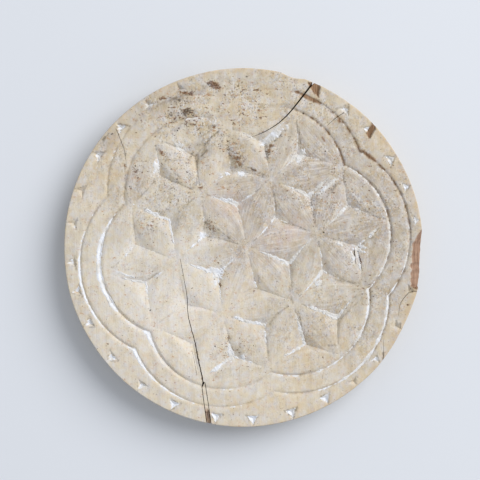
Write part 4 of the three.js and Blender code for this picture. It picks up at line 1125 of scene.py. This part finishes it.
# Each layer: colour, pattern, the measure it follows, how far the measure lifts the pattern (or None where it
# scales the layer instead), and the pattern's range that the layer comes in over, from its least to its most.
WOOD_LAYERS = [
    ("#dfd8cd", "cloud", "cream", None, 0.2, 0.6, 0.6, 0.9),
    ("#a89d97", "blotch", "mauve", None, 0.34, 0.62, 0.35, 0.95),
    ("#ccb48c", "blotch", "ochre", None, 0.36, 0.64, 0.1, 0.75),
    ("#c8b2a9", "blotch", "rosy", None, 0.3, 0.6, 0.3, 0.8),
    ("#dad7d0", "lumps", None, None, 0.48, 0.66, 0, 0.42),
    ("#ada499", "broad grain", None, None, 0.5, 0.72, 0, 0.34),
    ("#a59886", "grain", None, None, 0.52, 0.8, 0, 0.22),
    ("#c4aa82", "blotch", "handled", None, 0.2, 0.6, 0.3, 0.65),
    ("#a08a68", "grain", "sawn", None, 0.42, 0.68, 0, 0.5),
    ("#8f7a5c", "broad grain", "sawn", None, 0.5, 0.7, 0, 0.35),
    ("#927a56", "year rings", "sawn", None, 0.5, 0.62, 0, 0.6),
    ("#dccfb6", "year rings", "sawn", None, 0.48, 0.36, 0, 0.55),
    ("#d8cbb2", "mottle", "sawn", None, 0.54, 0.7, 0, 0.25),
    ("#5f4c38", "pores", "sawn", None, 0.62, 0.74, 0, 0.5),
    ("#968b82", "strokes", "stroked", None, 0.52, 0.7, 0, 0.65),
    ("#ded9d2", "strokes", "stroked", None, 0.48, 0.3, 0, 0.7),
    ("#a2937c", "scuffs", "weathered", None, 0.53, 0.6, 0, 0.38),
    ("#dad8d3", "scuffs", "weathered", None, 0.46, 0.4, 0, 0.38),
    ("#988c7a", "mottle", "weathered", None, 0.5, 0.7, 0, 0.36),
    # Dark smudges: painted shade on facets, with some dirt.
    ("#8d7f66", "mottle", "smudge", None, 0.36, 0.64, 0.1, 0.85),
    ("#c2a77e", "flecks", "weathered", None, 0.55, 0.66, 0, 0.55),
    ("#b3b2b6", "flecks", "weathered", None, 0.45, 0.34, 0, 0.66),
    ("#dcdcdc", "pores", "weathered", None, 0.54, 0.68, 0, 0.5),
    # A pale line along the chips' edges: worn edges with a painted highlight.
    ("#ddd6ca", "mottle", "ridge", None, 0.42, 0.62, 0.05, 0.42),
    ("#dcdad6", "mottle", "lime_wash", None, 0.36, 0.56, 0.1, 0.8),
    ("#75685a", "grit", "weathered", None, 0.54, 0.72, 0, 0.7),
    ("#ab8154", "rust", "speckle", 0.14, 0.68, 0.74, 0, 0.7),
    ("#7a6044", "mottle", "dirt", None, 0.3, 0.5, 0.2, 0.9),
    ("#857a68", "mottle", "soot", 0.6, 0.75, 1.1, 0, 0.65),
    ("#4a4138", "grit", "soot", 0.34, 0.72, 0.86, 0, 0.9),
    ("#85644a", "flecks", "brown", 0.6, 0.74, 0.9, 0, 0.9),
    ("#4f3828", "grit", "brown", 0.34, 0.74, 0.86, 0, 0.95),
    ("#6b4d37", "specks", "speckle", 0.18, 0.7, 0.76, 0, 0.85),
    ("#4d4034", "grit", "speckle", 0.16, 0.75, 0.81, 0, 0.75),
    # Painted shade and dirt in the creases, grooves, notches and cracks, and along the dark strokes.
    ("#4b3e31", "grit", "grime", None, 0.25, 0.6, 0.35, 0.85),
    # Painted shade and dirt inside the beetle holes.
    ("#40352a", "grit", "holes", None, 0, 1, 0.8, 1),
]
# Each drift of the washed face's hue: colour, pattern, the range it comes in over and its most.
HUE_DRIFT = [
    ("#d8c496", "hue", 0.5, 0.68, 0.3),
    ("#c4c4ca", "hue", 0.5, 0.34, 0.44),
    ("#d8b6a4", "rust", 0.5, 0.66, 0.22),
]


def linear(colour):
    """An sRGB hex colour as linear red, green, blue and alpha."""
    parts = [int(colour[i:i + 2], 16) / 255 for i in (1, 3, 5)]
    return (*(c / 12.92 if c <= 0.04045 else ((c + 0.055) / 1.055) ** 2.4 for c in parts), 1)


def put(tree, kind, inputs=None, out=0, **settings):
    """Adds a node with its settings, and a value or a link on each input given, and hands back an output."""
    node = tree.nodes.new(kind)
    for name, value in settings.items():
        setattr(node, name, value)
    for name, value in (inputs or {}).items():
        if isinstance(value, bpy.types.NodeSocket):
            tree.links.new(value, node.inputs[name])
        else:
            node.inputs[name].default_value = value
    return node.outputs[out] if len(node.outputs) else None


def per(size):
    """A pattern's scale for features of a size in millimetres."""
    return 1 / (size * MM)


def bare_material(name):
    """A new material with no nodes yet, and its node tree."""
    material = bpy.data.materials.new(name)
    material.use_nodes = True
    material.node_tree.nodes.clear()
    return material, material.node_tree


def weathered_mango():
    material, tree = bare_material("weathered_mango_wood")
    place = put(tree, "ShaderNodeTexCoord", out="Object")
    across, along = (put(tree, "ShaderNodeAttribute", out="Fac", attribute_name=name)
                     for name in ("petal_across", "petal_along"))
    on_petal = put(tree, "ShaderNodeCombineXYZ", {"X": across, "Y": along})
    on_petal = put(tree, "ShaderNodeVectorMath", {0: on_petal, "Scale": MM}, operation="SCALE")
    patterns = {}
    for title, (size, spread, stretch, detail) in WOOD_PATTERNS.items():
        moved = put(tree, "ShaderNodeMapping", {
            "Vector": on_petal if title == "strokes" else place,
            "Scale": (1 / spread, 1 / stretch, 1), "Location": (PATTERNS_APART * len(patterns), 0, 0),
        })
        patterns[title] = put(tree, "ShaderNodeTexNoise", {
            "Vector": moved, "Scale": per(size), "Detail": detail, "Roughness": PATTERN_ROUGHNESS,
        })
    clouds, fibres = (put(tree, "ShaderNodeMapRange", {
        "Value": patterns[title], "From Min": PATTERN_LOW, "From Max": PATTERN_HIGH,
    }) for title in ("cloud", "grain"))
    colour = put(tree, "ShaderNodeMix", {0: clouds, 6: linear(PALE), 7: linear(GREY_BEIGE)}, out=2,
                 data_type="RGBA")
    for tint, pattern, measure, lift, start, end, least, most in WOOD_LAYERS:
        value = patterns[pattern]
        if measure:
            amount = put(tree, "ShaderNodeAttribute", out="Fac", attribute_name=measure)
        if lift:
            value = put(tree, "ShaderNodeMath", {0: amount, 1: lift, 2: value}, operation="MULTIPLY_ADD")
        share = put(tree, "ShaderNodeMapRange", {
            "Value": value, "From Min": start, "From Max": end, "To Min": least, "To Max": most,
        })
        if measure and not lift:
            share = put(tree, "ShaderNodeMath", {0: share, 1: amount}, operation="MULTIPLY")
        colour = put(tree, "ShaderNodeMix", {0: share, 6: colour, 7: linear(tint)}, out=2, data_type="RGBA")
    washed = put(tree, "ShaderNodeAttribute", out="Fac", attribute_name="washed")
    for tint, pattern, start, end, most in HUE_DRIFT:
        share = put(tree, "ShaderNodeMapRange", {
            "Value": patterns[pattern], "From Min": start, "From Max": end, "To Max": most,
        })
        share = put(tree, "ShaderNodeMath", {0: share, 1: washed}, operation="MULTIPLY")
        colour = put(tree, "ShaderNodeMix", {0: share, 6: colour, 7: linear(tint)}, out=2, data_type="RGBA",
                     blend_type="COLOR")
    for measure, dark, light in (("bare", RAW_DARK, RAW_LIGHT), ("facet", FACET_DARK, FACET_LIGHT)):
        broken = put(tree, "ShaderNodeMix", {0: fibres, 6: linear(dark), 7: linear(light)}, out=2,
                     data_type="RGBA")
        amount = put(tree, "ShaderNodeAttribute", out="Fac", attribute_name=measure)
        colour = put(tree, "ShaderNodeMix", {0: amount, 6: colour, 7: broken}, out=2, data_type="RGBA")
    relief = patterns["grain"]
    for pattern in ("mottle", "grit"):
        relief = put(tree, "ShaderNodeMath", {0: relief, 1: patterns[pattern]}, operation="ADD")
    bump = put(tree, "ShaderNodeBump", {
        "Height": relief, "Strength": RELIEF_STRENGTH, "Distance": RELIEF_HEIGHT * MM,
    })
    dullness = put(tree, "ShaderNodeMapRange", {
        "Value": patterns["blotch"], "From Min": 0.3, "From Max": 0.7, "To Min": SHINIEST, "To Max": DULLEST,
    })
    shader = put(tree, "ShaderNodeBsdfPrincipled", {
        "Base Color": colour, "Roughness": dullness, "Normal": bump, "IOR": 1.5, "Specular IOR Level": 0.25,
    })
    put(tree, "ShaderNodeOutputMaterial", {"Surface": shader})
    return material


wood = weathered_mango()
board.data.materials.append(wood)
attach(board, "root")
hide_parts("board")

# The sliver: a wedge of the same plank that stands loose between the two strands of the long split. Its top
# has splintered away near the rim and shows brown wood.
SLIVER_START, SLIVER_SUNK, SLIVER_STEP, SLIVER_EDGE_STEP, SLIVER_EDGE_GAP = 0.5, 0.15, 0.5, 0.6, 0.2
SLIVER_CHIP_AT, SLIVER_CHIP_DEPTH = SLIVER_LENGTH - 11, 2.2
SLIVER_CHIP_EDGE = (SLIVER_CHIP_AT, SLIVER_CHIP_AT + 3)
SLIVER_STAIN_EDGE = (SLIVER_CHIP_AT - 3, SLIVER_CHIP_AT + 1)
SLIVER_SPLINTERS, SPLINTER_REACH, SPLINTER_HEIGHT = [(1, 0.7, 6, 31), (0.6, 0.5, 2, 32)], 1.5, 0.5
SLIVER_FIBRES, FIBRE_REACH, FIBRE_TINT = [(1, 0.6, 9, 59)], 2, 0.25
SLIVER_TO_RIM, SLIVER_RIM_SPOTS, SLIVER_RIM_MARGIN = 1, 8, 0.1
SLIVER_ROWS, SLIVER_ROW_REACH, SLIVER_BACK_EVERY = 4, 0.6, 3


def sliver_half(along):
    ends = [SLIVER_START, SLIVER_LENGTH + EDGE_RADIUS]
    return np.interp(along, ends, [SLIVER_TIP_WIDTH / 2, SLIVER_WIDTH / 2])


def sliver_along(spot):
    return ((spot - fork) * np.conj(heading)).real


def sliver_top(spot):
    splinter = uneven(spot, SLIVER_SPLINTERS)
    gone = rise(sliver_along(spot) + SPLINTER_REACH * splinter, *SLIVER_CHIP_EDGE)
    fall = gone * (SLIVER_CHIP_DEPTH + SPLINTER_HEIGHT * splinter)
    return THICKNESS - face_depth(spot) - SLIVER_SUNK - fall


def sliver_outline(step):
    along = np.arange(SLIVER_START, SLIVER_LENGTH - SLIVER_TO_RIM, step)
    west, east = (fork + heading * (along + sign * 1j * sliver_half(along)) for sign in (-1, 1))
    west = west[along > FORK_SKEW + SLIVER_START]
    rim = np.linspace(bearing(west[-1]) - SLIVER_RIM_MARGIN, bearing(east[-1]) + SLIVER_RIM_MARGIN,
                      SLIVER_RIM_SPOTS)
    return np.concatenate([west, polar(rim_reach(rim), rim), east[::-1]])


sliver_edge = sliver_outline(SLIVER_EDGE_STEP)
across = np.linspace(-SLIVER_ROW_REACH, SLIVER_ROW_REACH, SLIVER_ROWS)
runs = np.arange(SLIVER_START + SLIVER_EDGE_STEP, SLIVER_LENGTH - SLIVER_EDGE_STEP, SLIVER_STEP)
sliver_spots = (fork + heading * (runs[:, None] + 1j * across * sliver_half(runs)[:, None])).ravel()
sliver_spots = sliver_spots[clear_of(sliver_spots, sliver_edge, SLIVER_EDGE_GAP)]
places, faces, on_face = slab(sliver_edge, [], sliver_spots, sliver_spots[::SLIVER_BACK_EVERY], sliver_top,
                              back_height, rim_wander)
plan = places[:, 0] + 1j * places[:, 1]
marks = face_marks(plan, on_face)
fibres = uneven(plan, SLIVER_FIBRES)
broken_off = rise(sliver_along(plan) + FIBRE_REACH * fibres, *SLIVER_STAIN_EDGE)
marks["facet"] = broken_off * (1 - FIBRE_TINT + FIBRE_TINT * fibres)
sliver = mesh_piece("loose_sliver", places, faces, marks)
sliver.data.materials.append(wood)
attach(sliver, "root")
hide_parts("split_sliver")

# The lime: whitewash that dried in the cuts and has since flaked out of all but the creases. Each deposit is
# a crumbly crust, half a millimetre thick, that dips under the wood round its broken edge.
CRUST_STEP, CRUST_THICKNESS, CRUST_KEYED, CRUST_EDGE, CRUST_TO_RIM = 0.58, 0.55, 0.9, -0.5, 1
CRUST_SWELL, CRUST_LEAST, CRUST_MOST, CRUST_JOIN = 1.6, -1, 0.8, 1.5
CRUST_LUMPS, CRUST_LUMPY = [(0.12, 0.9, 0.9, 41), (0.12, 2.2, 2.2, 42)], (0, 0.3)
SMALLEST_CRUMB, JOINING_ROUNDS = 7, 300
LIME_NOTCH_ROOM = 14


def crust(name, held_at, where):
    """One closed crust for every island of spots that hold lime."""
    spot, _ = hexagonal(RADIUS, CRUST_STEP)
    spot = spot[(inset(spot) > CRUST_TO_RIM) & where(spot)]
    held = held_at(spot)
    spot, held = spot[held > CRUST_EDGE], held[held > CRUST_EDGE]
    _, _, faces, order, *_ = delaunay_2d_cdt(pairs(spot), [], [], 0, MERGE_WITHIN, True)
    faces = np.array([ids[0] for ids in order])[np.array(faces)]
    sides = np.abs(spot[faces] - spot[np.roll(faces, 1, axis=1)]).max(axis=1)
    faces = faces[(sides < CRUST_JOIN * CRUST_STEP) & (held[faces].max(axis=1) > 0)]
    island = np.arange(len(spot))
    for _ in range(JOINING_ROUNDS):
        np.minimum.at(island, faces, island[faces].min(axis=1, keepdims=True))
    island = island[faces[:, 0]]
    faces = faces[np.bincount(island, minlength=len(spot))[island] >= SMALLEST_CRUMB]
    used, faces = np.unique(faces, return_inverse=True)
    faces = faces.reshape(-1, 3)
    spot, held = spot[used], held[used]
    wood_top = THICKNESS - face_depth(spot)
    top = wood_top + CRUST_THICKNESS * np.clip(held * CRUST_SWELL, CRUST_LEAST, CRUST_MOST)
    top = np.minimum(top + uneven(spot, CRUST_LUMPS) * rise(held, *CRUST_LUMPY), THICKNESS)
    under = np.minimum(top, wood_top) - CRUST_KEYED
    start, end = np.array(open_sides(faces)).T
    n = len(spot)
    walls = [np.stack([start, start + n, end], 1), np.stack([end, start + n, end + n], 1)]
    places = np.concatenate([at_height(spot, top), at_height(spot, under)])
    faces = np.concatenate([faces, faces[:, ::-1] + n, *walls])
    return mesh_piece(name, places, faces, {"aged": np.tile(blots(spot, WEATHERED_PATCHES), 2)})


# Its finish: slaked lime dried to chalk, bright and matte, duller where the board has weathered most, with
# crumbs and clouds of these sizes in millimetres, and dirt in its pits.
LIME_LIGHT, LIME_DULL, LIME_DIRT = "#dde0e7", "#cdcac5", "#6f604d"
CRUMB_SIZE, CRUMB_HEIGHT, LIME_CLOUD_SIZE, LIME_AGE = 1.4, 0.3, 5, 0.2


def dried_lime():
    material, tree = bare_material("dried_lime_wash")
    place = put(tree, "ShaderNodeTexCoord", out="Object")
    crumbs, clouds = (put(tree, "ShaderNodeTexNoise", {"Vector": place, "Scale": per(size), "Detail": detail})
                      for size, detail in ((CRUMB_SIZE, 4), (LIME_CLOUD_SIZE, 3)))
    aged = put(tree, "ShaderNodeAttribute", out="Fac", attribute_name="aged")
    dull = put(tree, "ShaderNodeMath", {0: aged, 1: LIME_AGE, 2: clouds}, operation="MULTIPLY_ADD")
    dull = put(tree, "ShaderNodeMapRange", {"Value": dull, "From Min": 0.42, "From Max": 0.7})
    pits = put(tree, "ShaderNodeMapRange", {
        "Value": crumbs, "From Min": 0.64, "From Max": 0.72, "To Max": 0.85,
    })
    colour = linear(LIME_LIGHT)
    for share, tint in ((dull, LIME_DULL), (pits, LIME_DIRT)):
        colour = put(tree, "ShaderNodeMix", {0: share, 6: colour, 7: linear(tint)}, out=2, data_type="RGBA")
    bump = put(tree, "ShaderNodeBump", {"Height": crumbs, "Strength": 0.6, "Distance": CRUMB_HEIGHT * MM})
    shader = put(tree, "ShaderNodeBsdfPrincipled", {
        "Base Color": colour, "Normal": bump, "Roughness": 0.95, "IOR": 1.55, "Specular IOR Level": 0.2,
    })
    put(tree, "ShaderNodeOutputMaterial", {"Surface": shader})
    return material


def near_groove(groove):
    return lambda spot: np.abs(off_groove(groove, spot)) < groove.width


lime_pieces = {
    "flower_lime": (chip_lime, lambda spot: np.abs(spot - FLOWER_CENTRE) < 2 * COMPASS, "lime_chip_"),
    "inner_groove_lime": (lambda spot: groove_lime(INNER_GROOVE, INNER_LIME, spot), near_groove(INNER_GROOVE),
                          "lime_inner_groove_"),
    "outer_groove_lime": (lambda spot: groove_lime(OUTER_GROOVE, OUTER_LIME, spot), near_groove(OUTER_GROOVE),
                          "lime_outer_groove_"),
    "notch_lime": (notch_lime, lambda spot: np.abs(spot) > RADIUS - LIME_NOTCH_ROOM, "lime_notch_"),
}
lime = dried_lime()
for name, (held_at, where, stands_for) in lime_pieces.items():
    piece = crust(name, held_at, where)
    piece.data.materials.append(lime)
    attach(piece, "root")
    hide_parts(*[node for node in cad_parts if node.startswith(stands_for)])

# The floor: a plain pale surface with matt paint, wide enough to fill the view, that the board lies on.
FLOOR_COLOUR, FLOOR_ROUGHNESS, FLOOR_HALF, FLOOR_DROP = "#d2d6dd", 0.9, 2, 0.2
corners = [(-FLOOR_HALF, -FLOOR_HALF), (FLOOR_HALF, -FLOOR_HALF), (FLOOR_HALF, FLOOR_HALF),
           (-FLOOR_HALF, FLOOR_HALF)]
floor_mesh = bpy.data.meshes.new("floor")
floor_mesh.from_pydata([(x, y, -FLOOR_DROP * MM) for x, y in corners], [], [(0, 1, 2, 3)])
floor = bpy.data.objects.new("floor", floor_mesh)
bpy.context.scene.collection.objects.link(floor)
floor_paint = bpy.data.materials.new("pale_matt_paint")
floor_paint.use_nodes = True
floor_shader = floor_paint.node_tree.nodes["Principled BSDF"]
floor_shader.inputs["Base Color"].default_value = linear(FLOOR_COLOUR)
floor_shader.inputs["Roughness"].default_value = FLOOR_ROUGHNESS
floor_mesh.materials.append(floor_paint)

# The camera looks square at the carved face, as the photograph does, and a large soft lamp stands at the
# upper right, low enough to show the carving. The room's own light fills the shadows.
VIEW_WIDTH, VIEW_MIDDLE, LENS, SENSOR = 373.4, -2.6 + 5.8j, 85, 36
camera_data = bpy.data.cameras.new("camera")
camera_data.lens = LENS
camera_data.sensor_width = SENSOR
camera = bpy.data.objects.new("camera", camera_data)
camera_height = VIEW_WIDTH * LENS / SENSOR + THICKNESS
camera.location = (VIEW_MIDDLE.real * MM, VIEW_MIDDLE.imag * MM, camera_height * MM)
bpy.context.scene.collection.objects.link(camera)
bpy.context.scene.camera = camera

LAMP_AT, LAMP_HEIGHT, LAMP_DISTANCE, LAMP_SIZE, LAMP_POWER = 38, 40, 5, 4, 256
LAMP_TINT, ROOM_TINT, ROOM_STRENGTH = (1, 0.985, 0.965), (0.93, 0.96, 1, 1), 0.58
lamp_data = bpy.data.lights.new("window_lamp", "AREA")
lamp_data.shape = "DISK"
lamp_data.size = LAMP_SIZE
lamp_data.energy = LAMP_POWER
lamp_data.color = LAMP_TINT
lamp = bpy.data.objects.new("window_lamp", lamp_data)
level = math.radians(LAMP_HEIGHT)
lamp_spot = polar(LAMP_DISTANCE * math.cos(level), LAMP_AT)
lamp.location = (lamp_spot.real, lamp_spot.imag, LAMP_DISTANCE * math.sin(level))
lamp.rotation_euler = lamp.location.to_track_quat("Z", "Y").to_euler()
bpy.context.scene.collection.objects.link(lamp)

world = bpy.data.worlds.new("room_light")
world.use_nodes = True
room_light = world.node_tree.nodes["Background"]
room_light.inputs["Color"].default_value = ROOM_TINT
room_light.inputs["Strength"].default_value = ROOM_STRENGTH
bpy.context.scene.world = world
bpy.context.scene.view_settings.view_transform = "Standard"
